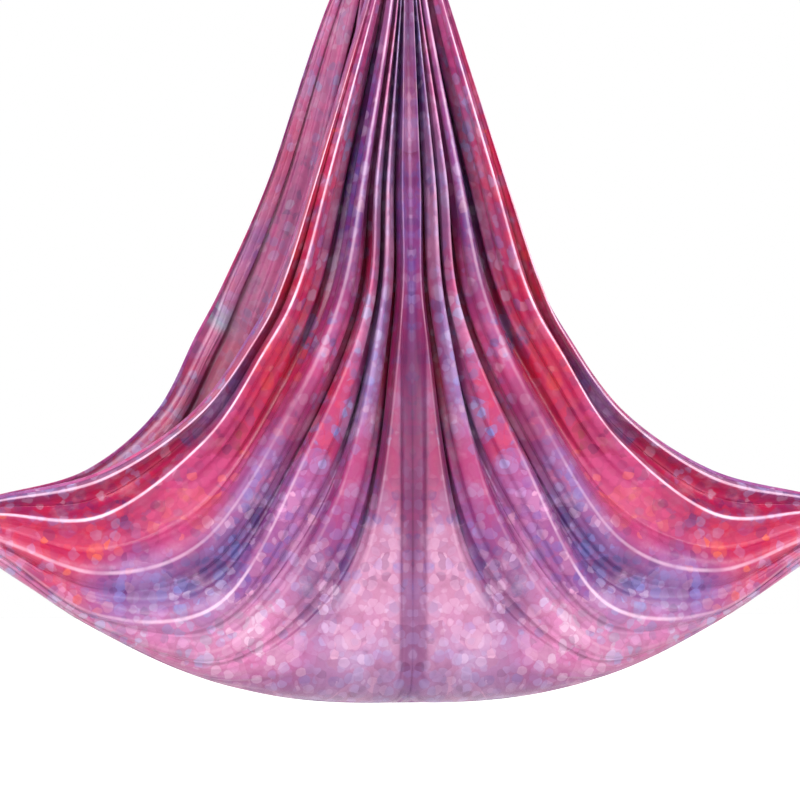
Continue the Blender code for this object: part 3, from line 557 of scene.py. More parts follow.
FRONT_WASHES = (
    Wash(1.4, 0.8, 0.6, 1.0, CRIMSON, MAUVE, 1.0, 0.5),
    Wash(1.3, 1.9, 0.5, 0.8, CRIMSON, CORAL, 1.3, 0.7),
    Wash(1.5, 2.9, 0.5, 0.6, CRIMSON, CORAL, 1.5, 0.1, 0.3),
    Wash(1.6, 3.8, 0.6, 0.7, CORAL, ROSE, 1.5, 0.1, 0.4),
    Wash(1.5, 4.6, 0.5, 0.5, ROSE, PERIWINKLE, 1.2),
    Wash(1.5, 6.0, 0.7, 1.2, PLUM, CRIMSON),
    Wash(0.4, 4.4, 0.5, 1.0, VIOLET, CRIMSON),
    Wash(0.5, 6.6, 0.8, 1.2, PERIWINKLE, PLUM),
    Wash(2.25, 0.9, 0.4, 1.0, MAUVE, ROSE),
    Wash(2.2, 2.0, 0.35, 0.5, LILAC, CRIMSON, 1.1),
    Wash(2.7, 2.1, 0.4, 0.9, NAVY, VIOLET, 1.3),
    Wash(2.4, 2.9, 0.5, 0.5, MAUVE, CRIMSON, 1.1),
    Wash(2.7, 3.3, 0.4, 0.4, PLUM, CRIMSON),
    Wash(2.4, 4.1, 0.6, 0.6, GARNET, CORAL, 2.2, 0.5, 0.3),
    Wash(2.4, 4.9, 0.6, 0.7, GARNET, ROSE, 1.9, 0.5, 0.5),
    Wash(2.6, 6.6, 0.8, 1.0, ROSE, CORAL, 1.3, 0.7),
    Wash(3.05, 4.0, 0.4, 0.45, GARNET, PLUM, 1.6, 0.3, 0.3),
    Wash(2.95, 2.7, 0.5, 0.7, PLUM, NAVY, 1.0, 0.0, 0.3),
    Wash(4.6, 2.6, 0.8, 0.8, LILAC, PLUM, 0.8, 0.0, 0.5),
    Wash(5.8, 3.0, 0.6, 0.6, PLUM, WINE, 1.6, 0.0, 0.2),
    Wash(6.7, 3.2, 0.6, 0.4, NAVY, PLUM, 2.6, 0.0, 0.1),
    Wash(5.85, 3.5, 0.45, 0.28, NAVY, PLUM, 2.2, 0.0, 0.1),
    Wash(6.2, 2.2, 0.8, 0.9, PLUM, VIOLET, 1.6, 0.0, 0.3),
    Wash(5.2, 3.9, 0.6, 0.35, PLUM, VIOLET, 1.0, 0.0, 0.5),
    Wash(3.1, 1.0, 0.4, 0.8, CANDY, MAUVE),
    Wash(3.4, 1.9, 0.4, 0.6, ROSE, MAUVE),
    Wash(3.5, 2.8, 0.5, 0.5, MAUVE, CRIMSON, 1.3),
    Wash(3.2, 3.4, 0.4, 0.5, MAUVE, ROSE, 1.3),
    Wash(3.0, 4.4, 0.4, 0.6, ROSE, PERIWINKLE),
    Wash(3.4, 4.9, 0.5, 0.6, PERIWINKLE, NAVY, 1.4),
    Wash(3.4, 5.8, 0.7, 0.5, VIOLET, PERIWINKLE, 1.1, 0.3),
    Wash(3.6, 6.6, 0.8, 0.7, ROSE, CORAL, 1.1, 0.6),
    Wash(4.2, 1.3, 0.35, 0.7, ROSE, CANDY),
    Wash(4.4, 2.1, 0.4, 0.6, PERIWINKLE, LILAC, 1.5),
    Wash(4.2, 3.0, 0.4, 0.4, LILAC, ROSE, 1.4),
    Wash(4.0, 3.7, 0.5, 0.4, PERIWINKLE, CRIMSON, 1.2),
    Wash(4.2, 4.5, 0.5, 0.6, CANDY, VIOLET, 1.0, 0.3),
    Wash(4.4, 5.5, 0.7, 0.6, LILAC, CANDY, 1.1),
    Wash(5.0, 1.2, 0.35, 0.8, PERIWINKLE, NAVY, 1.2),
    Wash(5.1, 2.3, 0.35, 0.5, PERIWINKLE, BLUSH, 1.2),
    Wash(5.5, 2.7, 0.3, 0.7, WINE, CRIMSON, 1.6),
    Wash(4.8, 3.2, 0.4, 0.5, LILAC, PERIWINKLE, 1.7),
    Wash(5.1, 3.8, 0.4, 0.35, ROSE, CRIMSON),
    Wash(5.65, 3.55, 0.3, 0.3, NAVY, PLUM, 1.6),
    Wash(6.15, 3.4, 0.3, 0.25, MAUVE, CRIMSON, 1.2),
    Wash(5.4, 4.2, 0.5, 0.35, MAUVE, NAVY, 1.1),
    Wash(5.2, 5.0, 0.8, 0.6, BLUSH, CANDY, 1.1),
    Wash(5.6, 6.2, 1.2, 1.0, LILAC, ROSE),
    Wash(6.5, 0.9, 0.5, 0.6, LILAC, MAUVE),
    Wash(6.6, 1.7, 0.5, 0.3, ROSE, BLUSH, 1.2),
    Wash(6.6, 2.3, 0.5, 0.35, VIOLET, MAUVE, 1.2),
    Wash(6.3, 2.8, 0.35, 0.4, CANDY, ROSE, 1.1),
    Wash(6.9, 2.9, 0.35, 0.5, NAVY, VIOLET, 1.1),
    Wash(6.3, 3.3, 0.4, 0.2, WINE, LILAC),
    Wash(6.8, 3.4, 0.6, 0.22, NAVY, PLUM, 3.4, 0.0, 0.1),
    Wash(6.2, 3.8, 0.5, 0.35, MAUVE, BLUSH, 1.4),
    Wash(6.8, 4.2, 0.5, 0.5, BLUSH, LILAC, 1.2),
    Wash(6.6, 5.4, 0.8, 0.8, BLUSH, MAUVE),
    Wash(6.8, 6.8, 0.8, 0.8, BLUSH, ROSE),
)

REAR_WASHES = (
    Wash(0.7, 0.5, 0.9, 0.5, ROSE, CRIMSON, 1.0, 0.4),
    Wash(0.8, 1.3, 0.9, 0.5, MAUVE, ROSE),
    Wash(1.0, 2.0, 0.9, 0.4, CANDY, CRIMSON),
    Wash(0.8, 2.6, 0.9, 0.3, ROSE, VIOLET, 1.0, 0.4),
    Wash(0.8, 3.1, 0.9, 0.25, CORAL, MAUVE),
    Wash(0.8, 3.55, 0.9, 0.25, LILAC, MINT, 1.4),
    Wash(0.9, 4.0, 1.0, 0.3, CRIMSON, ROSE, 1.1, 0.5),
    Wash(0.9, 4.5, 1.0, 0.4, PLUM, CRIMSON),
    Wash(1.0, 5.4, 1.2, 0.7, MAUVE, CRIMSON),
    Wash(3.0, 2.2, 1.2, 1.1, PLUM, ROSE),
    Wash(3.2, 4.2, 1.2, 0.8, CORAL, CRIMSON, 1.0, 0.7),
    Wash(5.0, 1.4, 1.2, 1.0, PERIWINKLE, ROSE),
    Wash(5.2, 3.2, 1.2, 0.7, VIOLET, CRIMSON),
    Wash(6.4, 2.4, 0.9, 1.0, CRIMSON, BLUSH),
    Wash(5.8, 4.3, 1.4, 0.7, BLUSH, CANDY),
    Wash(3.8, 5.6, 1.6, 0.8, LILAC, ROSE),
    Wash(3.0, 6.8, 2.4, 0.9, CORAL, PLUM, 1.0, 0.7),
    Wash(6.8, 5.6, 0.9, 1.2, CANDY, LILAC),
)

# At each ridge from the selvedge to the middle, and at each of the nine stations from the knot to
# the tip: how far out it lies, how far down, and its relief in pleat depths.
RIDGE_SHARES = np.array(
    (
        (
            (0.0155, 0.0, -0.05), (0.088, 0.137, -0.25), (0.198, 0.346, -0.3),
            (0.2725, 0.475, -0.3), (0.333, 0.544, -0.28), (0.455, 0.641, -0.2),
            (0.644, 0.713, -0.12), (0.853, 0.743, -0.05), (1.0, 0.7645, -0.01),
        ),
        (
            (0.015, 0.0, 0.05), (0.085, 0.139, 0.36), (0.195, 0.348, 0.46),
            (0.268, 0.48, 0.46), (0.327, 0.552, 0.44), (0.449, 0.647, 0.36),
            (0.644, 0.723, 0.24), (0.853, 0.749, 0.14), (1.0, 0.766, 0.04),
        ),
        (
            (0.0125, 0.0, 0.05), (0.072, 0.137, 0.38), (0.172, 0.346, 0.5),
            (0.241, 0.487, 0.5), (0.3145, 0.569, 0.5), (0.434, 0.675, 0.42),
            (0.644, 0.767, 0.3), (0.853, 0.765, 0.16), (1.0, 0.7675, 0.04),
        ),
        (
            (0.0098, 0.0, 0.05), (0.037, 0.137, 0.38), (0.1, 0.346, 0.48),
            (0.155, 0.505, 0.5), (0.26, 0.643, 0.5), (0.436, 0.797, 0.4),
            (0.644, 0.837, 0.22), (0.853, 0.796, 0.12), (1.0, 0.7695, 0.04),
        ),
        (
            (0.0072, 0.0, 0.05), (0.024, 0.137, 0.36), (0.073, 0.346, 0.44),
            (0.1, 0.512, 0.44), (0.224, 0.692, 0.4), (0.4, 0.873, 0.22),
            (0.644, 0.887, 0.12), (0.853, 0.811, 0.1), (1.0, 0.771, 0.04),
        ),
        (
            (0.0048, 0.0, 0.05), (0.017, 0.137, 0.34), (0.05, 0.346, 0.38),
            (0.071, 0.524, 0.34), (0.172, 0.765, 0.24), (0.388, 0.926, 0.12),
            (0.644, 0.9, 0.08), (0.853, 0.819, 0.08), (1.0, 0.7725, 0.04),
        ),
        (
            (0.0024, 0.0, 0.05), (0.0096, 0.137, 0.3), (0.019, 0.346, 0.3),
            (0.027, 0.542, 0.24), (0.115, 0.842, 0.12), (0.367, 0.962, 0.06),
            (0.644, 0.907, 0.04), (0.853, 0.824, 0.06), (1.0, 0.774, 0.03),
        ),
        (
            (0.0, 0.0, 0.05), (0.0, 0.137, 0.02), (0.0, 0.346, -0.02),
            (0.0, 0.561, 0.0), (0.0, 1.0, 0.0), (0.34, 0.985, 0.0),
            (0.644, 0.911, 0.0), (0.853, 0.829, 0.0), (1.0, 0.775, 0.0),
        ),
    )
)


@dataclass(frozen=True)
class Valley:
    """The cloth between one ridge and the next one inwards, at the nine stations.

    Attributes:
        place: Where its floor lies, as a share of the gap; beyond 1 it tucks under the next ridge.
        floor: Its relief, as a share of the pleats' depth.
        crest: How sharp the ridge before it is; a lower number is sharper.
        columns: The mesh's columns across it.
        folds: How many small folds gather in its depth.
    """

    place: tuple[float, ...]
    floor: tuple[float, ...]
    crest: float
    columns: int
    folds: int


VALLEYS = (
    Valley((0.5,) * 9, (0.0,) * 9, 1.0, 8, 0),
    Valley(
        (0.5, 0.5, 0.5, 0.5, 0.5, 0.5, 0.5, 0.5, 0.5),
        (0.0, 0.05, 0.05, -0.3, -0.5, -0.5, -0.3, -0.15, 0.0),
        0.7, 24, 3,
    ),
    Valley(
        (0.6, 0.85, 0.84, 0.8, 0.7, 0.6, 0.55, 0.5, 0.5),
        (-0.05, -0.6, -0.9, -0.85, -0.4, -0.2, -0.12, -0.08, 0.0),
        0.75, 44, 6,
    ),
    Valley(
        (0.6, 1.0, 1.05, 1.0, 0.8, 0.6, 0.5, 0.5, 0.5),
        (-0.05, -0.55, -0.9, -0.85, -0.35, -0.12, -0.08, -0.05, 0.0),
        1.4, 34, 5,
    ),
    Valley(
        (0.6, 1.0, 1.1, 1.0, 0.8, 0.6, 0.5, 0.5, 0.5),
        (-0.05, -0.55, -0.9, -0.8, -0.25, -0.05, -0.03, -0.03, 0.0),
        1.5, 32, 4,
    ),
    Valley(
        (0.6, 0.8, 0.8, 0.8, 0.75, 0.6, 0.5, 0.5, 0.5),
        (-0.05, -0.5, -0.85, -0.75, -0.2, -0.02, 0.0, 0.0, 0.0),
        1.5, 30, 4,
    ),
    Valley((1.0,) * 9, (0.0,) * 9, 1.4, 28, 3),
)

# How much painted highlight each ridge takes at each station.
RIDGE_HIGHLIGHT = np.array(
    (
        (0.0, 0.4, 0.5, 0.5, 0.4, 0.5, 0.6, 0.5, 0.2), (0.0, 0.6, 0.8, 0.8, 0.8, 0.8, 0.7, 0.5, 0.2),
        (0.0, 0.7, 1.0, 1.0, 1.0, 1.0, 1.0, 0.7, 0.3), (0.0, 0.5, 0.3, 0.2, 0.1, 0.3, 0.6, 0.4, 0.2),
        (0.0, 0.15, 0.15, 0.1, 0.15, 0.8, 0.4, 0.1, 0.1), (0.0, 0.2, 0.15, 0.1, 0.1, 0.15, 0.1, 0.0, 0.0),
        (0.0, 0.2, 0.2, 0.15, 0.1, 0.05, 0.0, 0.0, 0.0), (0.0, 0.0, 0.0, 0.0, 0.0, 0.0, 0.0, 0.0, 0.0),
    )
)

# The rear panel at each station: how far its middle shifts and how much wider it is.
REAR_SHARES = np.array(
    (
        (0.0, 1.0), (-0.0215, 1.14), (-0.032, 1.11),
        (-0.054, 1.1), (-0.057, 1.085), (-0.04, 1.035),
        (-0.014, 1.01), (0.0, 1.0), (0.0, 1.0),
    )
)

# The tints over the washes, with their strengths: painted light that pales the lower belly and the bottom fold,
# where the cloth turns down away from the lamps, and the middle band's plum.
BELLY_PAINTED_LIGHT, BELLY_LIGHT_SHARE = (222, 186, 214), 0.36
BOTTOM_PAINTED_LIGHT, BOTTOM_LIGHT_SHARE = (255, 188, 220), 0.62
BAND_TINT, BAND_SHARE = (146, 22, 86), 0.88

# Where the washes are made darker: how much, the line and its reach, the place and its reach.
DEEPER = ((0.55, 6.6, 1.5, 3.3, 0.32), (0.3, 6.3, 1.5, 2.1, 0.8), (0.3, 2.4, 0.8, 4.5, 0.5))


@dataclass
class Sheet:
    """The hammock's one sheet, its fold lines set out as shares of its drop and its spread.

    Attributes:
        drop: From the knots down to the lowest point.
        half_spread: From the middle out to each tip.
        centre_x: Where the belly's middle lies.
        belly_depth: How far each panel stands from the loop's middle plane.
        tip_depth: The same at the tips.
        fold_radius: The radius of the bottom fold.
        pleat_depth: The relief of a full pleat.
        throat: Where the front panel enters its knot, mirrored for the rear one.
        flat: The flat sheet's width and length.
        fold_station: The station on the bottom fold.
        tip_station: The station at the tips.
        rows_between: The mesh's rows from each station to the next.
        fold_heights: How high the small folds are at each station.
        centre_band: Half the width of the pressed band down the middle.
        centre_groove: How deep that band lies.
        settled: The share of the drop at which the middle has come under the fixing.
        neck_rise: How far the first row reaches up into the knot.
        neck_lean: The way it leans there.
        rear_calm: How much flatter the rear panel's outer pleats are.
        bunching: How much the print's dabs narrow where the sheet is gathered.
        into_depth: How far the dabs follow the relief.
        ridge_reach: How far from a ridge its light is told.
        valley_from: How deep the cloth lies where a valley's painted shade starts.
        valley_over: How much deeper the painted shade is full.
        edge_shade: How strongly the painted shade darkens the middle band's edges and its cleft.
        edge_width: How wide those edges are.
        cleft_width: How wide the cleft is.
        seed: The seed of the small folds.
        grids: The quarters' points once they are built.
    """

    drop: float = 2.186
    half_spread: float = 1.288
    centre_x: float = 0.032
    belly_depth: float = 0.15
    tip_depth: float = 0.012
    fold_radius: float = 0.16
    pleat_depth: float = 0.096
    throat: tuple[float, float, float] = (-0.0265, 0.0567, -0.397)
    flat: tuple[float, float] = (2.8, 5.0)
    fold_station: int = 4
    tip_station: int = 8
    rows_between: tuple[int, ...] = (12, 18, 15, 30, 16, 16, 12, 8)
    fold_heights: tuple[float, ...] = (0.001, 0.0105, 0.0145, 0.0135, 0.0085, 0.006, 0.005, 0.003, 0.0)
    centre_band: float = 0.032
    centre_groove: float = 0.014
    settled: float = 0.775
    neck_rise: float = 0.022
    neck_lean: tuple[float, float, float] = (0.113, -0.242, 0.9636)
    rear_calm: float = 0.8
    bunching: float = 0.6
    into_depth: float = 0.5
    ridge_reach: float = 0.05
    valley_from: float = 0.03
    valley_over: float = 0.08
    edge_shade: float = 2.6
    edge_width: float = 0.005
    cleft_width: float = 0.0045
    seed: int = 11
    grids: dict = field(default_factory=dict)

    def places(self) -> Array:
        """The rows' places, counted in stations from the knot."""
        spans = [np.arange(n) / n + i for i, n in enumerate(self.rows_between)]
        return np.concatenate([*spans, [float(self.tip_station)]])

    def lines(self) -> Array:
        """The columns' places, counted in ridges from the selvedge."""
        spans = [i + np.arange(v.columns) / v.columns for i, v in enumerate(VALLEYS)]
        return np.concatenate([*spans, [float(len(VALLEYS))]])

    def bottom(self, out: Array) -> Array:
        """How far down the bottom fold lies, out from the centre."""
        return 1 - 0.225 * out**3 * (1 + 1.45 * (1 - out))

    def section(self, place: Array) -> Array:
        """The sheet's rows as seen from the front, with their pleats.

        Args:
            place: The rows' places.

        Returns:
            Rows by columns by three: outwards and downwards as shares of the half spread and the
            drop, and the relief in metres. The columns of a row are evenly spaced in each gap.
        """
        ridges = catmull(RIDGE_SHARES.transpose(1, 0, 2), place)
        ridges[..., 2] *= self.pleat_depth
        parts = []
        for number, valley in enumerate(VALLEYS):
            dense = self.gap(number, valley, ridges, place)
            even = self.evenly(dense, valley.columns)
            parts.append(even if number == len(VALLEYS) - 1 else even[:, :-1])
        return np.concatenate(parts, axis=1)

    def gap(self, number: int, valley: Valley, ridges: Array, place: Array) -> Array:
        """The dense curve of each row from one ridge to the next.

        Args:
            number: The outer ridge's number.
            valley: What lies between the two.
            ridges: Every row's ridges.
            place: The rows' places.

        Returns:
            Rows by dense points by three.
        """
        a, b = ridges[:, number, None], ridges[:, number + 1, None]
        t = np.linspace(0.0, 1.0, 65)
        last = number == len(VALLEYS) - 1
        if valley.folds == 0 or last:
            power = 0.8 if last else 1.4
            share = 0.5 - 0.5 * np.cos(np.pi * t**power)
            curve = a + (b - a) * t[None, :, None]
            curve[..., 2] = a[..., 2] + (b[..., 2] - a[..., 2]) * share
            shallow = 0.55 * rising(a[:, 0, :1], 0.02, 0.12) * np.ones_like(t)
            return self.folded(valley, number, place, curve, shallow) if last else curve
        across = catmull(np.array(valley.place), place)[:, None]
        floor = catmull(np.array(valley.floor), place)[:, None] * self.pleat_depth
        inner = VALLEYS[number + 1].crest
        fall = 0.5 + 0.5 * np.cos(np.pi * t**valley.crest)
        climb = 0.5 + 0.5 * np.cos(np.pi * (1 - t[1:]) ** inner)
        share = np.concatenate([across * t, across + (1 - across) * t[1:]], axis=1)
        curve = a + (b - a) * share[..., None]
        down_to = floor + (a[..., 2] - floor) * fall
        up_to = floor + (b[..., 2] - floor) * climb
        curve[..., 2] = np.concatenate([down_to, up_to], axis=1)
        hidden = np.concatenate([1 - fall, 1 - climb])[None, :]
        return self.folded(valley, number, place, curve, hidden)

    def folded(self, valley: Valley, number: int, place: Array, curve: Array, hidden: Array) -> Array:
        """Adds the small folds that gather in a valley, square to its flanks.

        Args:
            valley: The valley.
            number: Its outer ridge's number.
            place: The rows' places.
            curve: Rows by dense points by three.
            hidden: How deep each dense point lies, 0 at a ridge to 1 at the floor.

        Returns:
            The curve with its folds.
        """
        rng = np.random.default_rng(self.seed + number)
        height = np.interp(place, range(9), self.fold_heights)
        step = np.gradient(curve * (self.half_spread, 0.0, 1.0), axis=1)
        length = np.maximum(np.linalg.norm(step, axis=2), 1e-7)
        share = length.cumsum(axis=1) / length.sum(axis=1)[:, None]
        wave = np.zeros_like(share)
        for count, weight in ((valley.folds, 1.0), (2 * valley.folds - 1, 0.45)):
            phase = rng.uniform(0, 2 * np.pi)
            drift = rng.uniform(0.6, 1.4) * np.sin(place * rng.uniform(0.5, 1.1) + phase)
            wave += weight * np.cos(2 * np.pi * count * share + phase + drift[:, None])
        if number == len(VALLEYS) - 1:
            height = height * hidden[:, 0]
        wave *= height[:, None] * (0.2 + 0.8 * hidden) * np.sin(np.pi * np.clip(share, 0.0, 1.0)).clip(0.0) ** 0.5
        curve[..., 0] -= wave * step[..., 2] / length / self.half_spread
        curve[..., 2] += wave * step[..., 0] / length
        return curve

    def evenly(self, dense: Array, columns: int) -> Array:
        """Spaces each row's points evenly along its curve.

        Args:
            dense: Rows by dense points by three.
            columns: How many steps to make.

        Returns:
            Rows by columns plus one by three.
        """
        along = travelled(dense * (self.half_spread, self.drop, 1.0), 1)
        result = np.empty((len(dense), columns + 1, 3))
        for row, curve in enumerate(dense):
            at = np.linspace(0.0, along[row, -1], columns + 1)
            for axis in range(3):
                result[row, :, axis] = np.interp(at, along[row], curve[:, axis])
        return result

    def smooth(self, out: Array, down: Array) -> tuple[Array, Array]:
        """The unpleated panel.

        Args:
            out: Shares of the half spread.
            down: Shares of the drop.

        Returns:
            Its depth from the loop's middle plane, and how far it has turned under.
        """
        belly = self.throat[1] + (self.belly_depth - self.throat[1]) * ease(down / 0.7)
        depth = self.tip_depth + (belly - self.tip_depth) * np.maximum(0.0, 1 - out) ** 0.7
        radius = self.fold_radius * (1 - out / 2)
        above = (self.bottom(out) - down) * self.drop
        under = np.arcsin(np.clip(1 - above / radius, 0.0, 1.0))
        return depth * np.cos(under), under

    def grid(self, panel: Panel, side: Side) -> Array:
        """One quarter of the sheet.

        Args:
            panel: Which panel.
            side: Which half.

        Returns:
            Points, rows by columns by three.
        """
        place, line = self.places(), self.lines()
        out, down, relief = np.moveaxis(self.section(place), 2, 0)
        out = np.maximum(out, 0.0)
        down = np.minimum(down, self.bottom(out))
        fold = place >= self.fold_station
        out[~fold, -1] = 0.0
        down[fold, -1] = self.bottom(out[fold, -1])
        relief[fold, -1] = 0.0
        depth, under = self.smooth(out, down)
        flattened = np.clip((self.tip_station - place) / 0.6, 0.0, 1.0)[:, None]
        relief = relief * flattened * (1 - 0.6 * ease(under / (np.pi / 2)))
        if panel is Panel.REAR:
            relief = relief * (1 - self.rear_calm * np.clip(1.75 - line / 2.5, 0.0, 1.0))
        groove = 1 - rising(out * self.half_spread, self.centre_band - 0.008, 0.012)
        relief = relief - self.centre_groove * groove * ease(place - 2.2)[:, None] * (1 - ease(under / 1.1))
        knot_x = panel.value * self.throat[0]
        centre = self.centre_x + (knot_x - self.centre_x) * np.maximum(0.0, 1 - down / self.settled)
        width = np.ones_like(out)
        if panel is Panel.REAR:
            rear = catmull(REAR_SHARES, place)
            inward = 1 - line / line[-1]
            fixed = ease(place - self.fold_station + 1)[:, None]
            centre = centre + rear[:, :1] * self.half_spread * (1 + (inward - 1) * fixed)
            width = 1 + (rear[:, 1:] - 1) * inward
        x = centre + side.value * out * width * self.half_spread
        y = panel.value * (depth + relief * np.cos(under)) * flattened**0.5
        z = self.throat[2] - down * self.drop - relief * np.sin(under)
        points = np.stack([x, y, z], axis=-1)
        points[:, 1:-1] = (points[:, :-2] + 2 * points[:, 1:-1] + points[:, 2:]) / 4
        throat = np.array((knot_x, panel.value * self.throat[1], self.throat[2]))
        up = np.array(self.neck_lean) * (panel.value, panel.value, 1.0)
        points[0] = throat + up * self.neck_rise + (points[0] - throat) * (0.5, 0.5, 1.0)
        return points

    def flat_places(self, grid: Array, panel: Panel) -> Array:
        """Where the points lie on the flat sheet.

        Args:
            grid: A quarter's points.
            panel: Which panel.

        Returns:
            Metres across from the centre line and along from the front knot.
        """
        along, across = travelled(grid), travelled(grid, 1)
        half_width = self.flat[0] / 2
        fold = int(np.searchsorted(self.places(), self.fold_station))
        half_length = along[fold, -1]
        edge_v = along[:, 0] * half_length / along[-1, 0]
        centre_v = np.minimum(along[:, -1], half_length)
        beyond = np.maximum(0.0, along[:, -1] - half_length)
        centre_u = beyond * half_width / beyond[-1]
        share = across / np.maximum(across[:, -1:], 1e-6)
        u = half_width + (centre_u[:, None] - half_width) * share
        v = edge_v[:, None] + (centre_v - edge_v)[:, None] * share
        if panel is Panel.REAR:
            v = 2 * half_length - v
        return np.stack([u, v], axis=-1)

    def washes(self, panel: Panel) -> tuple[Array, Array]:
        """The print's broad colours and the accents on them, at each row and column, with painted light over the lower
        belly and the bottom fold.
        """
        place, line = np.meshgrid(self.places(), self.lines(), indexing="ij")
        used = FRONT_WASHES if panel is Panel.FRONT else REAR_WASHES
        far = [((line - w.line) / w.reach_line) ** 2 + ((place - w.place) / w.reach_place) ** 2 for w in used]
        weights = np.array([w.weight * np.exp(-2.2 * f) + 1e-4 for w, f in zip(used, far)])
        weights /= weights.sum(axis=0)
        mix = np.einsum("wrc,wk->rck", weights, np.array([(*linear(w.colour), w.ember) for w in used]))
        accent = np.einsum("wrc,wk->rck", weights, np.array([(*linear(w.accent), w.paleness) for w in used]))
        dark = sum(s * np.exp(-(((line - at) / a) ** 2) - ((place - by) / b) ** 2) for s, at, a, by, b in DEEPER)
        mix[..., :3] *= 1 - np.minimum(dark, 0.6)[..., None]
        out = catmull(RIDGE_SHARES.transpose(1, 0, 2), self.places())[..., 0] * self.half_spread
        out = np.array([np.interp(self.lines(), range(8), row) for row in out])
        # Painted light: the lower belly and the bottom fold are paled towards pink white.
        belly = BELLY_LIGHT_SHARE * rising(line, 3.6, 1.6) * rising(place, 3.9, 0.8)
        bottom = BOTTOM_LIGHT_SHARE * rising(line, 5.6, 1.3) * rising(place, 3.55, 0.5) * (1 - rising(place, 5.4, 1.8))
        middle = BAND_SHARE * (1 - rising(out, self.centre_band - 0.006, 0.01)) * rising(place, 3.0, 0.6)
        stripe = (0.5 + 0.5 * np.sin(9.0 * place))[..., None]
        plum, violet = np.array(linear(BAND_TINT)), np.array(linear(VIOLET))
        tints = (linear(BELLY_PAINTED_LIGHT), belly), (linear(BOTTOM_PAINTED_LIGHT), bottom), (plum + (violet - plum) * stripe, middle)
        for tint, share in tints:
            mix[..., :3] += (np.array(tint) - mix[..., :3]) * share[..., None]
        return mix, accent

    def outwards(self, grid: Array) -> Array:
        """How far each point of a quarter lies from the sheet's middle as seen from the front."""
        middle = np.where(self.places() < self.fold_station, grid[:, -1, 0], self.centre_x)
        return np.abs(grid[..., 0] - middle[:, None])

    def spots(self, grid: Array) -> Array:
        """Where each point takes its dabs from, in a space that mirrors about the sheet's middle.

        Args:
            grid: A quarter's points.

        Returns:
            Rows by columns by four: metres outwards, the depth, metres up, and one.
        """
        bunched = 1 + self.bunching * (1 - ease(self.places() / 3.5))[:, None]
        out = self.outwards(grid) * bunched
        return with_fourth(np.stack([out, self.into_depth * grid[..., 1], grid[..., 2]], axis=-1), 1.0)

    def creases(self, grid: Array, panel: Panel) -> Array:
        """How each point lies in its fold, for the painted highlight and shade.

        Args:
            grid: A quarter's points.
            panel: Which panel.

        Returns:
            Rows by columns by four: the distance to the nearest ridge over its reach, how strong that
            ridge's painted highlight is, how much painted shade the point takes from lying deep between
            its ridges or on the middle band's edges, core and cleft, and one.
        """
        place, line = self.places(), self.lines()
        across = travelled(grid, 1)
        ridge = np.searchsorted(line, np.arange(len(VALLEYS) + 1))
        crest = np.abs(across[:, :, None] - across[:, None, ridge]).min(axis=2)
        # Painted highlight: how strongly each ridge shines at each row.
        highlight = np.array([np.interp(place, range(9), row) for row in RIDGE_HIGHLIGHT]).T
        nearest = np.clip(np.round(line).astype(int), 0, len(VALLEYS))
        height = panel.value * grid[..., 1]
        level = height[:, ridge]
        level[:, -1] = np.maximum(level[:, -1], level[:, -2])
        # Painted shade: the deeper a point lies below the line between its two ridges, the darker.
        sunk = np.array([np.interp(line, line[ridge], row) for row in level]) - height
        valley = np.clip((sunk - self.valley_from) / self.valley_over, 0.0, 1.0)
        split = np.clip(sunk / 0.02, 0.0, 1.0) ** 3 * (line > len(VALLEYS) - 1)
        out, seen = self.outwards(grid), ease(place - 1.9)[:, None]
        # More painted shade: dark lines along the middle band's edges and down its cleft, and a darker core.
        edges = np.exp(-(((out - self.centre_band) / self.edge_width) ** 2)) * ease(place - 2.6)[:, None]
        core = (1 - rising(out, 0.02, 0.012)) * (1.3 + 0.8 * np.sin(8.0 * grid[..., 2] + 2.0)) * seen
        cleft = np.exp(-((out / self.cleft_width) ** 2)) * seen
        deep = np.maximum.reduce([valley, split, self.edge_shade * edges, core, self.edge_shade * cleft])
        # The rear panel's ridges take less painted highlight.
        shown = 1.0 if panel is Panel.FRONT else 0.4
        crest = np.clip(crest / self.ridge_reach, 0.0, 1.0)
        return with_fourth(np.stack([crest, highlight[:, nearest] * shown, deep], axis=-1), 1.0)

    def build(self) -> bpy.types.Object:
        """Makes the whole sheet as one open mesh, welded along its middle and its bottom fold."""
        points, faces, flats = [], [], []
        paints = {"wash": [], "accent": [], "fold": [], "spot": []}
        start = 0
        for panel in Panel:
            wash, accent = self.washes(panel)
            for side in Side:
                grid = self.grid(panel, side)
                self.grids[panel, side] = grid
                rows, columns = grid.shape[:2]
                quads = start + np.array(lattice(rows, columns, False, False))
                if panel.value * side.value < 0:
                    quads = quads[:, ::-1]
                faces += [tuple(q) for q in quads.tolist()]
                points.append(grid.reshape(-1, 3))
                flats.append(self.flat_places(grid, panel).reshape(-1, 2))
                drawn = {"wash": wash, "accent": accent, "fold": self.creases(grid, panel), "spot": self.spots(grid)}
                for name, values in drawn.items():
                    paints[name].append(values.reshape(-1, 4))
                start += rows * columns
        sheet = mesh_object("sheet", np.concatenate(points), faces)
        self.paint(sheet, np.concatenate(flats), paints)
        cleaned(sheet, 0.00002, outward=False)
        return sheet

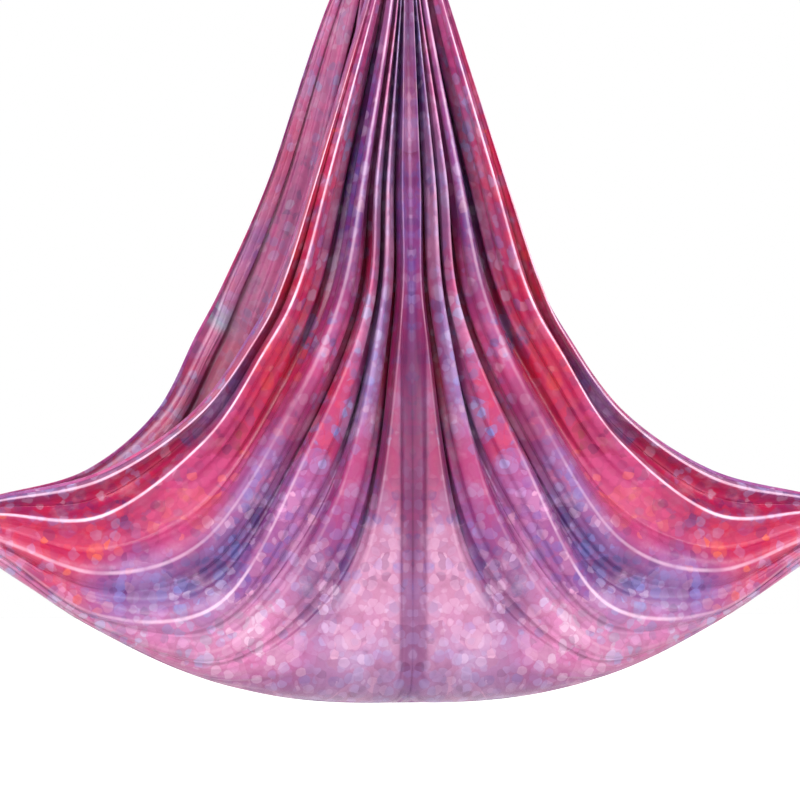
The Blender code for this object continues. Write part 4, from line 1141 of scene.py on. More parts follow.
    def paint(self, sheet: bpy.types.Object, flat: Array, paints: dict[str, list[Array]]) -> None:
        """Writes the flat places as the UV map, and the colours and the folds' painted highlight and shade as
        attributes.
        """
        mesh = sheet.data
        corner = np.empty(len(mesh.loops), np.int32)
        mesh.loops.foreach_get("vertex_index", corner)
        layer = mesh.uv_layers.new(name="flat")
        layer.uv.foreach_set("vector", flat[corner].astype(np.float32).ravel())
        if "spot" not in paints:
            own = np.array([(abs(v.co.x - self.centre_x), v.co.y, v.co.z, 1.0) for v in mesh.vertices])
            paints["spot"] = [own]
        for name, values in paints.items():
            attribute = mesh.color_attributes.new(name, "FLOAT_COLOR", "POINT")
            attribute.data.foreach_set("color", np.concatenate(values).astype(np.float32).ravel())


def painted(wash: Array, accent: Array, fold: Array) -> dict[str, list[Array]]:
    """A piece's layers of paint as the sheet takes them, from grids of three values."""
    layers = {"wash": (wash, 0.0), "accent": (accent, 1.0), "fold": (fold, 1.0)}
    return {name: [with_fourth(grid, fourth).reshape(-1, 4)] for name, (grid, fourth) in layers.items()}


def placed(points: Array, place: Matrix) -> Array:
    """Moves points by a matrix."""
    matrix = np.array(place)
    return points @ matrix[:3, :3].T + matrix[:3, 3]


def joined(*shells: Shell) -> Shell:
    """Puts several shells of points and faces into one."""
    faces, start = [], 0
    for points, own in shells:
        faces += [tuple(start + i for i in face) for face in own]
        start += len(points)
    return np.concatenate([points for points, _ in shells]), faces


def arc(centre: tuple[float, float], radius: float, start: float, sweep: float, steps: int) -> Array:
    """Points along an arc in a plane."""
    angle = start + sweep * np.arange(steps + 1) / steps
    return np.stack([centre[0] + radius * np.cos(angle), centre[1] + radius * np.sin(angle)], axis=1)


def upright(outline: Array) -> Array:
    """An outline of X and Z as points in the XZ plane."""
    return np.insert(outline, 1, 0.0, axis=1)


def sideways(outline: Array) -> Array:
    """An outline of Y and Z as points in the YZ plane."""
    return np.insert(outline, 0, 0.0, axis=1)


def rounded(profile: list[tuple[float, float]], radius: float, ring: bool = False, steps: int = 4) -> list:
    """Rounds a profile's corners.

    Args:
        profile: Radius and height of each corner.
        radius: How far each rounding reaches along its sides.
        ring: Whether the profile closes on itself.
        steps: How many faces each rounding has.

    Returns:
        The rounded profile.
    """
    result = []
    count = len(profile)
    for i, corner in enumerate(profile):
        here = Vector(corner)
        if not ring and i in (0, count - 1):
            result.append(tuple(here))
            continue
        before, after = Vector(profile[i - 1]) - here, Vector(profile[(i + 1) % count]) - here
        a = here + before.normalized() * min(radius, 0.45 * before.length)
        b = here + after.normalized() * min(radius, 0.45 * after.length)
        for step in range(steps + 1):
            share = step / steps
            result.append(tuple(a.lerp(here, share).lerp(here.lerp(b, share), share)))
    return result


def turned(profile: list[tuple[float, float]], steps: int = 64, ring: bool = False) -> Shell:
    """Turns a profile of radii and heights about Z.

    Args:
        profile: Radius and height of each corner, down the outer side.
        steps: Faces round the axis.
        ring: Whether the profile closes on itself.

    Returns:
        The points and the faces.
    """
    angle = 2 * np.pi * np.arange(steps) / steps
    r, z = np.array(profile).T
    points = np.stack([r[:, None] * np.cos(angle), r[:, None] * np.sin(angle), z[:, None] + 0 * angle], axis=-1)
    return points.reshape(-1, 3), lattice(len(profile), steps, ring, True)


def lattice(rows: int, columns: int, close_rows: bool, close_columns: bool) -> list:
    """The faces between rows of points."""
    index = np.arange(rows * columns).reshape(rows, columns)
    if close_rows:
        index = np.vstack([index, index[:1]])
    if close_columns:
        index = np.hstack([index, index[:, :1]])
    quads = np.stack([index[:-1, :-1], index[1:, :-1], index[1:, 1:], index[:-1, 1:]], axis=-1)
    return [tuple(q) for q in quads.reshape(-1, 4).tolist()]


def swept(path: Array, sections: Array, closed: bool = False) -> Shell:
    """Sweeps outlines along a path without letting them twist.

    Args:
        path: The path's points.
        sections: An outline for each point of the path, as points by two.
        closed: Whether the path closes on itself; an open one gets caps.

    Returns:
        The points and the faces.
    """
    if closed:
        ahead = np.roll(path, -1, axis=0) - np.roll(path, 1, axis=0)
    else:
        ahead = np.gradient(path, axis=0)
    ahead /= np.linalg.norm(ahead, axis=1)[:, None]
    side = np.empty_like(path)
    start = np.cross(ahead[0], (0.0, 1.0, 0.0))
    if np.linalg.norm(start) < 0.3:
        start = np.cross(ahead[0], (1.0, 0.0, 0.0))
    side[0] = start / np.linalg.norm(start)
    for i in range(1, len(path)):
        turned_side = side[i - 1] - ahead[i] * np.dot(side[i - 1], ahead[i])
        side[i] = turned_side / np.linalg.norm(turned_side)
    up = np.cross(ahead, side)
    points = path[:, None] + side[:, None] * sections[..., :1] + up[:, None] * sections[..., 1:]
    rows, columns = sections.shape[:2]
    faces = lattice(rows, columns, closed, True)
    if not closed:
        last = (rows - 1) * columns
        faces += [tuple(range(columns))[::-1], tuple(range(last, last + columns))]
    return points.reshape(-1, 3), faces


def round_rod(path: Array, radius: float, sides: int = 28, closed: bool = False, chamfer: float = 0.0005) -> Shell:
    """A round rod along a path, its ends chamfered."""
    angle = 2 * np.pi * np.arange(sides) / sides
    circle = np.stack([np.cos(angle), np.sin(angle)], axis=1)
    radii = np.full(len(path), radius)
    if not closed:
        first = path[0] + (path[1] - path[0]) * chamfer / np.linalg.norm(path[1] - path[0])
        last = path[-1] + (path[-2] - path[-1]) * chamfer / np.linalg.norm(path[-2] - path[-1])
        path = np.concatenate([path[:1], first[None], path[1:-1], last[None], path[-1:]])
        radii = np.concatenate([[radius - chamfer], [radius], radii[1:-1], [radius], [radius - chamfer]])
    return swept(path, circle[None] * radii[:, None, None], closed)


def prism(outline: Array, low: float, high: float) -> Shell:
    """A flat plate between two places on Y, its outline in the XZ plane."""
    count = len(outline)
    points = np.concatenate([upright(outline) + (0, low, 0), upright(outline) + (0, high, 0)])
    sides = [(i, (i + 1) % count, count + (i + 1) % count, count + i) for i in range(count)]
    return points, [tuple(range(count))[::-1], tuple(range(count, 2 * count)), *sides]


def edged(mesh: bpy.types.Mesh) -> None:
    """Shades a hard piece smooth but for its edges."""
    mesh.shade_smooth()
    mesh.set_sharp_from_angle(angle=math.radians(32))


def solid(name: str, shell: Shell, place: Matrix, finish: bpy.types.Material) -> bpy.types.Object:
    """Makes a hard piece: welded, its normals outward, smooth but for its edges.

    Args:
        name: The piece's name.
        shell: Its points and faces in its own frame.
        place: Where its frame lies.
        finish: Its material.

    Returns:
        The piece, at the origin, with its place in its mesh.
    """
    piece = mesh_object(name, placed(shell[0], place), shell[1])
    cleaned(piece, 0.00001)
    edged(piece.data)
    piece.data.materials.append(finish)
    return piece


def carved(piece: bpy.types.Object, cutters: list[bpy.types.Object]) -> bpy.types.Object:
    """Cuts solids out of a piece and removes them."""
    for cutter in cutters:
        modifier = piece.modifiers.new("cut", "BOOLEAN")
        modifier.operation = "DIFFERENCE"
        modifier.solver = "EXACT"
        modifier.object = cutter
    graph = bpy.context.evaluated_depsgraph_get()
    mesh = bpy.data.meshes.new_from_object(piece.evaluated_get(graph))
    piece.modifiers.clear()
    piece.data = mesh
    for cutter in cutters:
        bpy.data.objects.remove(cutter)
    edged(mesh)
    return piece


def dressed(piece: bpy.types.Object, body: str, slot: str, *nodes: str) -> bpy.types.Object:
    """Lets a piece ride on its body, in place of its CAD nodes."""
    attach(piece, body)
    if nodes:
        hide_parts(*nodes)
    LOG.info("%s: %d faces on %s", piece.name, len(piece.data.polygons), body)
    return piece


@dataclass(frozen=True)
class Metal:
    """A worked metal surface, with its grain, its handling marks and its uneven polish.

    Attributes:
        colour: Its colour, 0 to 255.
        roughness: Its roughness where it is clean.
        grain: Lines of the tool to a metre.
        worn: How far the handled patches depart from the rest.
    """

    colour: tuple[int, int, int]
    roughness: float
    grain: float = 900.0
    worn: float = 0.5

    def material(self, name: str) -> bpy.types.Material:
        """The finish as a material."""
        made, make, shader = surface(name)
        place = make.node("TexCoord").outputs["Object"]
        drawn = make.node("Mapping", {"Vector": place, "Scale": (1.0, 1.0, 0.06)}).outputs[0]
        lines = make.node("TexNoise", {"Vector": drawn, "Scale": self.grain, "Detail": 3.0})
        cloud = make.node("TexNoise", {"Vector": place, "Scale": 90.0, "Detail": 5.0, "Roughness": 0.6})
        marks = make.node("TexNoise", {"Vector": place, "Scale": 420.0, "Detail": 6.0, "Roughness": 0.7})
        patch = make.times(make.ramp(cloud.outputs["Fac"], 0.45, 0.68), self.worn)
        scuffed = make.times(make.ramp(marks.outputs["Fac"], 0.6, 0.68), self.worn)
        base = linear(self.colour)
        dull = tuple(0.72 * c for c in base)
        bright = tuple(min(1.0, 1.25 * c + 0.01) for c in base)
        uneven = make.maths("MULTIPLY_ADD", cloud.outputs["Fac"], 0.22, self.roughness - 0.11)
        height = make.maths("MULTIPLY_ADD", marks.outputs["Fac"], 0.5, lines.outputs["Fac"])
        inputs = {
            "Base Color": make.blend(scuffed, make.blend(patch, base, dull), bright),
            "Roughness": make.maths("MULTIPLY_ADD", scuffed, 0.12, uneven),
            "Normal": make.bump(height, 0.22, 0.0002),
            "Metallic": 1.0,
        }
        make.feed(shader, inputs)
        return made


@dataclass(frozen=True)
class Rubber:
    """Black moulded rubber with a dusty bloom."""

    roughness: float = 0.62

    def material(self, name: str) -> bpy.types.Material:
        """The finish as a material."""
        made, make, shader = surface(name)
        place = make.node("TexCoord").outputs["Object"]
        bloom = make.node("TexNoise", {"Vector": place, "Scale": 160.0, "Detail": 5.0}).outputs["Fac"]
        dust = make.times(make.ramp(bloom, 0.4, 0.75), 0.5)
        inputs = {
            "Base Color": make.blend(dust, linear((26, 26, 27)), linear((62, 60, 58))),
            "Roughness": make.maths("MULTIPLY_ADD", bloom, 0.2, self.roughness),
            "Normal": make.bump(bloom, 0.2, 0.0003),
        }
        make.feed(shader, inputs)
        return made


@dataclass(frozen=True)
class Thread:
    """Polyester sewing thread, a little shinier than the cloth."""

    colour: tuple[int, int, int] = (196, 96, 150)

    def material(self, name: str) -> bpy.types.Material:
        """The thread as a material."""
        made, make, shader = surface(name)
        place = make.node("TexCoord").outputs["Object"]
        plies = make.node("TexWave", {"Vector": place, "Scale": 700.0, "Distortion": 1.0}).outputs["Fac"]
        base = linear(self.colour)
        # Painted shade: the thread is darker in the grooves between its plies, where the bump is low.
        inputs = {
            "Base Color": make.blend(plies, tuple(0.7 * c for c in base), base),
            "Normal": make.bump(plies, 0.4, 0.0002),
            "Roughness": 0.45,
        }
        make.feed(shader, inputs)
        return made


@dataclass
class Finishes:
    """The materials of the hard pieces, by the record's slot."""

    made: dict[str, bpy.types.Material] = field(default_factory=dict)

    def build(self) -> None:
        """Makes every finish."""
        self.made = {
            "silver_alloy": Metal((172, 175, 182), 0.24, 700.0).material("satin_silver_alloy"),
            "dark_alloy": Metal((44, 45, 50), 0.34, 1100.0, 0.35).material("black_anodised_alloy"),
            "plated_steel": Metal((150, 154, 162), 0.2, 900.0, 0.4).material("zinc_plated_steel"),
            "black_rubber": Rubber().material("moulded_rubber"),
        }

    def dress(self, frame: dict) -> None:
        """Gives the CAD nodes that stay in view their finish."""
        for node in frame["nodes"].values():
            for held in node.material_slots:
                finish = self.made.get(held.material.name.split(".")[0]) if held.material else None
                if finish:
                    held.material = finish


RIG = Matrix.Rotation(math.radians(25), 4, "Z")
ALONG_Y = Matrix.Rotation(math.radians(90), 4, "X")
ACROSS = Matrix.Rotation(math.radians(90), 4, "Z")
ANCHOR_Z = -0.0505
# On the stirrup's bar: half the space between the two carabiners, their splay and their play.
HALF_PITCH = 0.0091
SPLAY = math.radians(15.5)
BAR_PLAY = 0.0003


@dataclass
class Carabiner:
    """One screw gate carabiner: bent rod, keyed gate, rivet and fluted sleeve.

    Its own frame has the small bow up and the gate on +X; the gate's frame has its origin on the
    rivet, Z to the nose and X inwards.
    """

    prefix: str
    body: str
    place: Matrix
    rod_radius: float = 0.0055
    small_bow: float = 0.0155
    wide_bow: float = 0.027
    spacing: float = 0.058
    nose_stub: float = 0.004
    nose_gap: float = 0.0006
    hinge_gap: float = 0.0004
    tang: float = 0.004
    cam: float = 0.0036
    pin_radius: float = 0.0015
    key_neck: float = 0.003
    key_head: float = 0.0024
    key_depth: float = 0.005
    key_gap: float = 0.0005
    key_back: float = 0.0046
    key_front: float = 0.0015
    slot_top: float = 0.0052
    slot_play: float = 0.0003
    overlap: float = 0.002
    sleeve_length: float = 0.022
    sleeve_wall: float = 0.002
    sleeve_clears: float = 0.0016
    flutes: int = 12
    flute_depth: float = 0.0009
    flute_length: float = 0.014
    line_at: float = 0.0088
    line_depth: float = 0.00025
    line_half: float = 0.0005

    def __post_init__(self) -> None:
        """Works out where the gate lies."""
        self.lean = math.asin((self.wide_bow - self.small_bow) / self.spacing)
        side = self.spacing * math.cos(self.lean)
        self.drop = self.rod_radius + self.hinge_gap
        self.gate_length = side - self.drop - self.nose_stub - self.nose_gap
        self.nose = self.gate_length + self.nose_gap
        along = Vector((math.sin(self.lean), 0.0, -math.cos(self.lean)))
        out = Vector((math.cos(self.lean), 0.0, math.sin(self.lean))) * self.small_bow
        pivot = Vector((0.0, 0.0, self.spacing / 2)) + out + along * self.drop
        across = Vector((0.0, 1.0, 0.0))
        turn = Matrix((across.cross(along), across, along)).transposed().to_4x4()
        self.pivot = Matrix.Translation(pivot) @ turn

    def build(self, finishes: Finishes) -> None:
        """Makes the carabiner's four visible pieces."""
        gate_place = self.place @ self.pivot
        pieces = (
            ("bent_rod", self.rod(), self.place, "silver_alloy", self.body, "frame"),
            ("gate_bar", self.bar(), gate_place, "silver_alloy", f"{self.prefix}_gate", "gate"),
            ("gate_rivet", self.rivet(), gate_place @ ALONG_Y, "plated_steel", self.body, "gate_pin"),
            ("screw_sleeve", self.sleeve(), gate_place, "dark_alloy", f"{self.prefix}_sleeve", "sleeve"),
        )
        for name, shell, place, slot, body, node in pieces:
            piece = solid(f"{self.prefix}_{name}", shell, place, finishes.made[slot])
            if name == "gate_bar":
                piece = carved(piece, self.cuts(gate_place))
            dressed(piece, body, slot, f"{self.prefix}_carabiner_{node}")

    def rod(self) -> Shell:
        """The bent rod with the tang that carries the gate and the key at its nose."""
        half_turn = math.pi - 2 * self.lean
        small = arc((0.0, self.spacing / 2), self.small_bow, self.lean, half_turn, 36)
        wide = arc((0.0, -self.spacing / 2), self.wide_bow, math.pi - self.lean, math.pi + 2 * self.lean, 56)
        nose = np.array(self.pivot @ Vector((0.0, 0.0, self.nose)))
        path = np.concatenate([upright(small), upright(wide), nose[None]])
        tang, faces = prism(self.tang_outline(), -self.tang / 2, self.tang / 2)
        key, key_faces = prism(self.key_outline(0.0, self.nose + self.overlap), -self.key_back, self.key_front)
        tang = placed(tang, self.pivot)
        key = placed(key, self.pivot @ ACROSS)
        return joined(round_rod(path, self.rod_radius), (tang, faces), (key, key_faces))

    def tang_outline(self) -> Array:
        """The tang, round about the pivot and let into the rod behind it."""
        rim = arc((0.0, 0.0), self.cam, math.pi, -math.pi, 20)
        root = -(self.drop + self.overlap)
        return np.concatenate([rim, [(self.cam, root), (-self.cam, root)]])

    def key_outline(self, gap: float, top: float) -> Array:
        """The key's neck and round head, or with a gap its slot."""
        neck, head = self.key_neck / 2 + gap, self.key_head + gap
        half = math.asin(neck / head)
        foot = (0.0, self.nose - self.key_depth)
        round_head = arc(foot, head, math.pi / 2 + half, 2 * math.pi - 2 * half, 24)
        return np.concatenate([round_head, [(neck, top), (-neck, top)]])

    def bar(self) -> Shell:
        """The gate's bar, domed at its foot."""
        r, top = self.rod_radius, self.gate_length
        flat = [(0.0, top), (r - 0.0005, top), (r - 0.0001, top - 0.0001), (r, top - 0.0006)]
        dome = [(x, -z) for x, z in arc((0.0, 0.0), r, 0.0, math.pi / 2, 12).tolist()]
        dome[-1] = (0.0, -r)
        return turned(flat + dome, 48)

    def cuts(self, place: Matrix) -> list[bpy.types.Object]:
        """The cutters of the hinge slot and the keyway."""
        reach = self.rod_radius + self.overlap
        half = self.tang / 2 + self.slot_play
        foot = np.array([(-reach, -reach), (reach, -reach), (reach, self.slot_top), (-reach, self.slot_top)])
        hinge = prism(foot, -half, half)
        outline = self.key_outline(self.key_gap, self.gate_length + self.overlap)
        keyway, faces = prism(outline, -reach, self.key_front + self.key_gap)
        shells = {"hinge_cut": hinge, "key_cut": (placed(keyway, ACROSS), faces)}
        cutters = []
        for name, shell in shells.items():
            cutters.append(mesh_object(name, placed(shell[0], place), shell[1], smooth=False))
            cleaned(cutters[-1])
        return cutters

    def rivet(self) -> Shell:
        """The hinge's rivet, its heads domed into the gate's sides."""
        half, r = self.rod_radius - 0.0003, self.pin_radius + 0.0002
        head = [(0.0, half), (0.5 * r, half - 0.00008), (0.85 * r, half - 0.0003), (r, half - 0.0007)]
        return turned(head + [(x, -z) for x, z in head[::-1]], 28)

    def sleeve(self) -> Shell:
        """The screw sleeve, its flutes fading out before its rims."""
        inner = self.rod_radius + 0.0003
        outer = inner + self.sleeve_wall
        foot = self.nose - self.key_depth - self.key_head - self.sleeve_clears - self.sleeve_length
        length = self.sleeve_length
        heights = np.linspace(length - 0.001, 0.001, 30)
        profile = [(inner, length), (outer - 0.0007, length), (outer - 0.0002, length - 0.0003)]
        profile += [(outer, z) for z in heights]
        profile += [(outer - 0.0002, 0.0003), (outer - 0.0007, 0.0), (inner, 0.0)]
        points, faces = turned(profile, self.flutes * 12, ring=True)
        angle = np.arctan2(points[:, 1], points[:, 0])
        groove = np.clip(np.cos(angle * self.flutes), 0.0, 1.0) ** 1.5
        from_middle = np.abs(points[:, 2] - length / 2)
        middle = 1 - rising(from_middle, self.flute_length / 2 - 0.002, 0.002)
        line = np.abs(from_middle - self.line_at) < self.line_half
        radius = np.hypot(points[:, 0], points[:, 1])
        depth = (self.flute_depth * groove * middle + self.line_depth * line) * (radius > outer - 0.00005)
        points[:, :2] *= (1 - depth / radius)[:, None]
        points[:, 2] += foot
        return points, faces


@dataclass
class Swivel:
    """The ball bearing swivel between the anchor carabiner and the two that hold the sheet."""

    eye_bar: float = 0.0055
    eye_radius: float = 0.018
    eye_centre: float = -0.1017
    top: float = -0.1167
    height: float = 0.034
    radius: float = 0.018
    wall: float = 0.0034
    crown: float = 0.0105
    shoulder: float = 0.007
    flange_radius: float = 0.0165
    flange: float = 0.004
    neck_radius: float = 0.009
    neck: float = 0.004
    stem: float = 0.007
    bar: float = 0.006
    corner: float = 0.012
    half_width: float = 0.016
    stirrup_height: float = 0.04
    seal_height: float = 0.0016
    seal_radius: float = 0.016
    play: float = 0.0003

    def build(self, finishes: Finishes) -> None:
        """Makes the swivel's three visible pieces."""
        pieces = (
            ("bell", self.bell(), "swivel_housing", "plated_steel", "swivel_upper_eye"),
            ("lip_seal", self.seal(), "swivel_housing", "black_rubber", "swivel_seal"),
            ("stirrup", self.stirrup(), "swivel_shaft", "plated_steel", "swivel_lower_eye"),
        )
        for name, shell, body, slot, node in pieces:
            dressed(solid(f"swivel_{name}", shell, RIG, finishes.made[slot]), body, slot, node)

    @property
    def bottom(self) -> float:
        """The bell's rim."""
        return self.top - self.height

    @property
    def flange_top(self) -> float:
        """The flange's upper face, under the seal."""
        return self.bottom - self.seal_height - 2 * self.play

    @property
    def neck_low(self) -> float:
        """Where the stirrup starts under the neck."""
        return self.flange_top - self.flange - self.neck

    @property
    def bar_z(self) -> float:
        """The stirrup's bar."""
        return self.neck_low - self.stirrup_height

    def bell(self) -> Shell:
        """The upper eye on its bell, with two turned grooves round it."""
        cavity, shoulder = self.radius - self.wall, self.top - self.shoulder
        profile = [(0.0, self.top + 0.001), (0.0068, self.top + 0.0006), (0.0088, self.top - 0.0012)]
        profile += [(cavity, (self.top + shoulder) / 2), (self.radius, shoulder)]
        for groove in (0.012, 0.0245):
            z = self.top - groove
            profile += [(self.radius, z + 0.0009), (self.radius - 0.0005, z + 0.0004)]
            profile += [(self.radius - 0.0005, z - 0.0004), (self.radius, z - 0.0009)]
        profile += [(self.radius, self.bottom), (cavity, self.bottom), (cavity, self.top - self.crown)]
        profile.append((0.0, self.top - self.crown))
        ring = arc((0.0, self.eye_centre), self.eye_radius, 0.0, 2 * math.pi, 80)[:-1]
        return joined(turned(rounded(profile, 0.0009), 80), round_rod(sideways(ring), self.eye_bar, closed=True))

    def seal(self) -> Shell:
        """The rubber ring between the bell and the shaft's flange, with a lip."""
        top = self.bottom - self.play
        low, inner, outer = top - self.seal_height, self.stem + self.play, self.seal_radius
        profile = [(inner, top), (outer, top), (outer, top - 0.0005), (outer - 0.0006, top - 0.0008)]
        profile += [(outer, top - 0.0011), (outer, low), (inner, low)]
        return turned(rounded(profile, 0.0002, ring=True), 72, ring=True)

    def stirrup(self) -> Shell:
        """The shaft, its flange and neck, and the stirrup that the two carabiners hang on."""
        flange_top, top, bar_z = self.flange_top, self.neck_low, self.bar_z
        flange_low = flange_top - self.flange
        shaft_top = self.top - self.crown - 0.0012
        profile = [(0.0, shaft_top), (self.stem, shaft_top), (self.stem, flange_top)]
        profile += [(self.flange_radius, flange_top), (self.flange_radius, flange_low)]
        profile += [(self.neck_radius + 0.0008, flange_low - 0.0004), (self.neck_radius - 0.0012, flange_low - 0.0022)]
        profile += [(self.bar + 0.0009, top - 0.0006), (self.bar - 0.0006, top - 0.004), (0.0, top - 0.005)]
        shaft = turned(rounded(profile, 0.0008), 72)
        head = (0.0, top - self.corner)
        side = math.atan2(self.half_width, head[1] - (bar_z + self.corner))
        over = arc(head, self.corner, side, math.pi - 2 * side, 24)
        sweep = math.pi / 2 + side
        left = arc((-self.half_width, bar_z + self.corner), self.corner, math.pi - side, sweep, 18)
        right = arc((self.half_width, bar_z + self.corner), self.corner, -math.pi / 2, sweep, 18)
        outline = np.concatenate([over, left, right])
        return joined(shaft, round_rod(sideways(outline), self.bar, closed=True))


def hung_place(side: int) -> Matrix:
    """The frame of a carabiner on the stirrup's bar, -1 for the front one."""
    between = Swivel.bar + Carabiner.rod_radius + BAR_PLAY
    on_bar = Carabiner.spacing / 2 + Carabiner.small_bow - between / math.cos(SPLAY)
    place = RIG @ Matrix.Translation((0.0, side * HALF_PITCH, Swivel().bar_z))
    return place @ Matrix.Rotation(side * SPLAY, 4, "X") @ Matrix.Translation((0.0, 0.0, -on_bar))


# The waves that make a bundle's lobes and its radius uneven: their height, and their phase to a
# radian round it and to a metre along it.
PHASE_WAVES = ((1.3, 2, 17), (0.9, 3, -11))
RADIUS_WAVES = ((0.035, 2, 40), (0.03, 3, -53))

# The rings that fold a tail's rim inwards: their scale and how far they sink.
MOUTH_RINGS = ((0.94, -0.0012), (0.84, 0.001), (0.55, 0.012), (0.2, 0.02))


@dataclass
class Knot:
    """One end of the sheet, gathered to a rope, over its carabiner's bow and round itself."""

    panel: Panel
    rope: float = 0.013
    squeeze: float = 0.85
    rod_gap: float = 0.0006
    wrap_gap: float = 0.0012
    pitch: float = 0.0275
    wraps: float = 2.5
    top: float = 0.036
    length: float = 0.112
    straight: float = 0.05
    tail: float = 0.09
    lobes: int = 10
    lobe_depth: float = 0.2
    tail_lobes: float = 0.22
    tail_spread: float = 0.55
    around: int = 80
    merge: float = 0.085

    def build(self, sheet: Sheet, cloth: bpy.types.Material) -> bpy.types.Object:
        """Makes the knot as a lobed bundle that opens into the sheet at one end.

        Args:
            sheet: The sheet that it ends.
            cloth: The sheet's material.

        Returns:
            The knot.
        """
        name = self.panel.name.lower()
        path, spread, flare = self.path(sheet)
        along = travelled(path)
        angle = 2 * np.pi * np.arange(self.around) / self.around
        # How deep each point lies between two lobes, later painted as shade.
        radius, deep = self.lobed(angle[None, :], along[:, None], flare[:, None])
        sections = radius[..., None] * np.stack([np.cos(angle), np.sin(angle)], axis=1)[None]
        grid = swept(path, sections)[0].reshape(len(path), self.around, 3)
        middle = grid.mean(axis=1, keepdims=True)
        stretch = np.stack([1 + 0.9 * spread, 1 - 0.72 * spread, np.ones_like(spread)], axis=1)[:, None]
        grid = middle + (grid - middle) * stretch
        grid = np.concatenate([grid, self.mouth(grid)])
        faces = lattice(len(grid), self.around, False, True)
        faces.append(tuple(range((len(grid) - 1) * self.around, len(grid) * self.around)))
        knot = mesh_object(f"{name}_gathered_knot", grid.reshape(-1, 3), faces)
        self.paint(sheet, knot, grid, along, deep)
        cleaned(knot)
        knot.data.materials.append(cloth)
        return dressed(knot, "hammock", "printed_tricot", f"{name}_knot")

    def path(self, sheet: Sheet) -> tuple[Array, Array, Array]:
        """The bundle's path.

        Args:
            sheet: The sheet that it opens into.

        Returns:
            The points, how flat the bundle is at each, and how wide its tail opens.
        """
        side = self.panel.value
        bow_z = -(Carabiner.spacing / 2 + Carabiner.wide_bow)
        bow = hung_place(side) @ Matrix.Translation((0.0, 0.0, bow_z))
        over = Carabiner.rod_radius + self.rod_gap + self.rope * self.squeeze
        wrap = 2 * self.rope + self.wrap_gap
        parts = [np.array([(0.0, 0.0, self.straight * i / 6 - self.length) for i in range(6)])]
        parts.append(self.bend((0.0, self.straight - self.length), (side * over, 0.0), 16))
        parts.append(sideways(arc((0.0, 0.0), over, 0.0, math.pi, 26)[1:-1] * (side, 1.0)))
        parts.append(self.bend((-side * over, 0.0), (-side * wrap, -self.top), 12))
        turn = 2 * np.pi * self.wraps * np.arange(1, 81) / 80
        fall = -self.top - self.pitch * turn / (2 * np.pi)
        parts.append(np.stack([wrap * np.sin(turn), -side * wrap * np.cos(turn), fall], axis=1))
        end = parts[-1][-1]
        parts.append(np.array([end - (0.0, 0.0, self.tail * i / 20) for i in range(1, 21)]))
        points = placed(np.concatenate(parts), bow)
        knot_x = side * sheet.throat[0]
        rows = []
        for share in np.linspace(1.0, 0.0, 14)[:-1]:
            down = share * self.merge / sheet.drop
            x = knot_x + (sheet.centre_x - knot_x) * down / sheet.settled
            y = side * sheet.smooth(np.zeros(1), np.array([down]))[0][0]
            rows.append((x, y, sheet.throat[2] - down * sheet.drop))
        spread = np.concatenate([np.linspace(1.0, 0.0, 14)[:-1], np.zeros(len(points))])
        flare = np.concatenate([np.zeros(len(rows) + len(points) - 14), ease(np.arange(14) / 13)])
        return np.concatenate([rows, points]), ease(spread), flare

    def bend(self, start: tuple[float, float], end: tuple[float, float], steps: int) -> Array:
        """An S bend in the YZ plane, upright at both ends."""
        share = np.arange(steps + 1) / steps
        shares = np.stack([ease(share), share], axis=1)
        return sideways(np.array(start) + np.subtract(end, start) * shares)

    def lobed(self, angle: Array, along: Array, flare: Array) -> tuple[Array, Array]:
        """The bundle's radius, and how deep each point lies between two lobes."""
        twist = 9.0 * along + 0.35 * np.sin(31.0 * along)
        phase = self.lobes * (angle + twist) + self.waves(PHASE_WAVES, angle, along)
        lobe = np.abs(np.sin(phase / 2)) ** 0.75
        fine = np.abs(np.sin(1.5 * phase + 2.1 * np.sin(angle + 23 * along)))
        depth = self.lobe_depth + self.tail_lobes * flare
        radius = 1.0 - depth * (1 - lobe) + 0.03 * (fine - 0.6) + self.waves(RADIUS_WAVES, angle, along)
        return self.rope * radius * (1 + self.tail_spread * flare), 1 - lobe

    def waves(self, table: tuple, angle: Array, along: Array) -> Array:
        """The sum of a table's waves."""
        return sum(height * np.sin(turns * angle + rate * along) for height, turns, rate in table)

    def mouth(self, grid: Array) -> Array:
        """The rings that fold the tail's rim inwards."""
        end, before = grid[-1], grid[-2]
        middle = end.mean(axis=0)
        out = middle - before.mean(axis=0)
        out /= np.linalg.norm(out)
        rings = []
        for scale, sink in MOUTH_RINGS:
            rings.append(middle + (end - middle) * scale - out * sink)
        return np.array(rings)

    def paint(self, sheet: Sheet, knot: bpy.types.Object, grid: Array, along: Array, deep: Array) -> None:
        """Writes the flat places, the print's colours as the sheet has them, and painted shade between the lobes and in
        the tail's mouth.
        """
        rows = grid.shape[0]
        along = np.concatenate([along, np.full(rows - len(along), along[-1])])
        # The tail's mouth takes painted shade.
        deep = np.concatenate([deep, np.full((rows - len(deep), self.around), 0.6)])
        turn = np.arange(self.around) / self.around
        sign = 1.0 if self.panel is Panel.FRONT else -1.0
        mirrored = np.abs(2 * turn - 1)
        flat = np.stack(np.broadcast_arrays(0.55 * mirrored[None, :], -sign * along[:, None] * 0.8 + 0.4), axis=-1)
        tone = 0.5 + 0.5 * np.sin(3 * np.pi * mirrored[None, :] + 9.0 * along[:, None])
        second = 0.5 + 0.5 * np.sin(5 * np.pi * mirrored[None, :] - 21.0 * along[:, None])
        colours = [np.array(linear(c)) for c in (CRIMSON, MAUVE, VIOLET, CANDY)]
        mix = colours[0] + (colours[1] - colours[0]) * tone[..., None]
        other = colours[2] + (colours[3] - colours[2]) * second[..., None]
        wash = mix + (other - mix) * (0.45 * second * tone)[..., None]
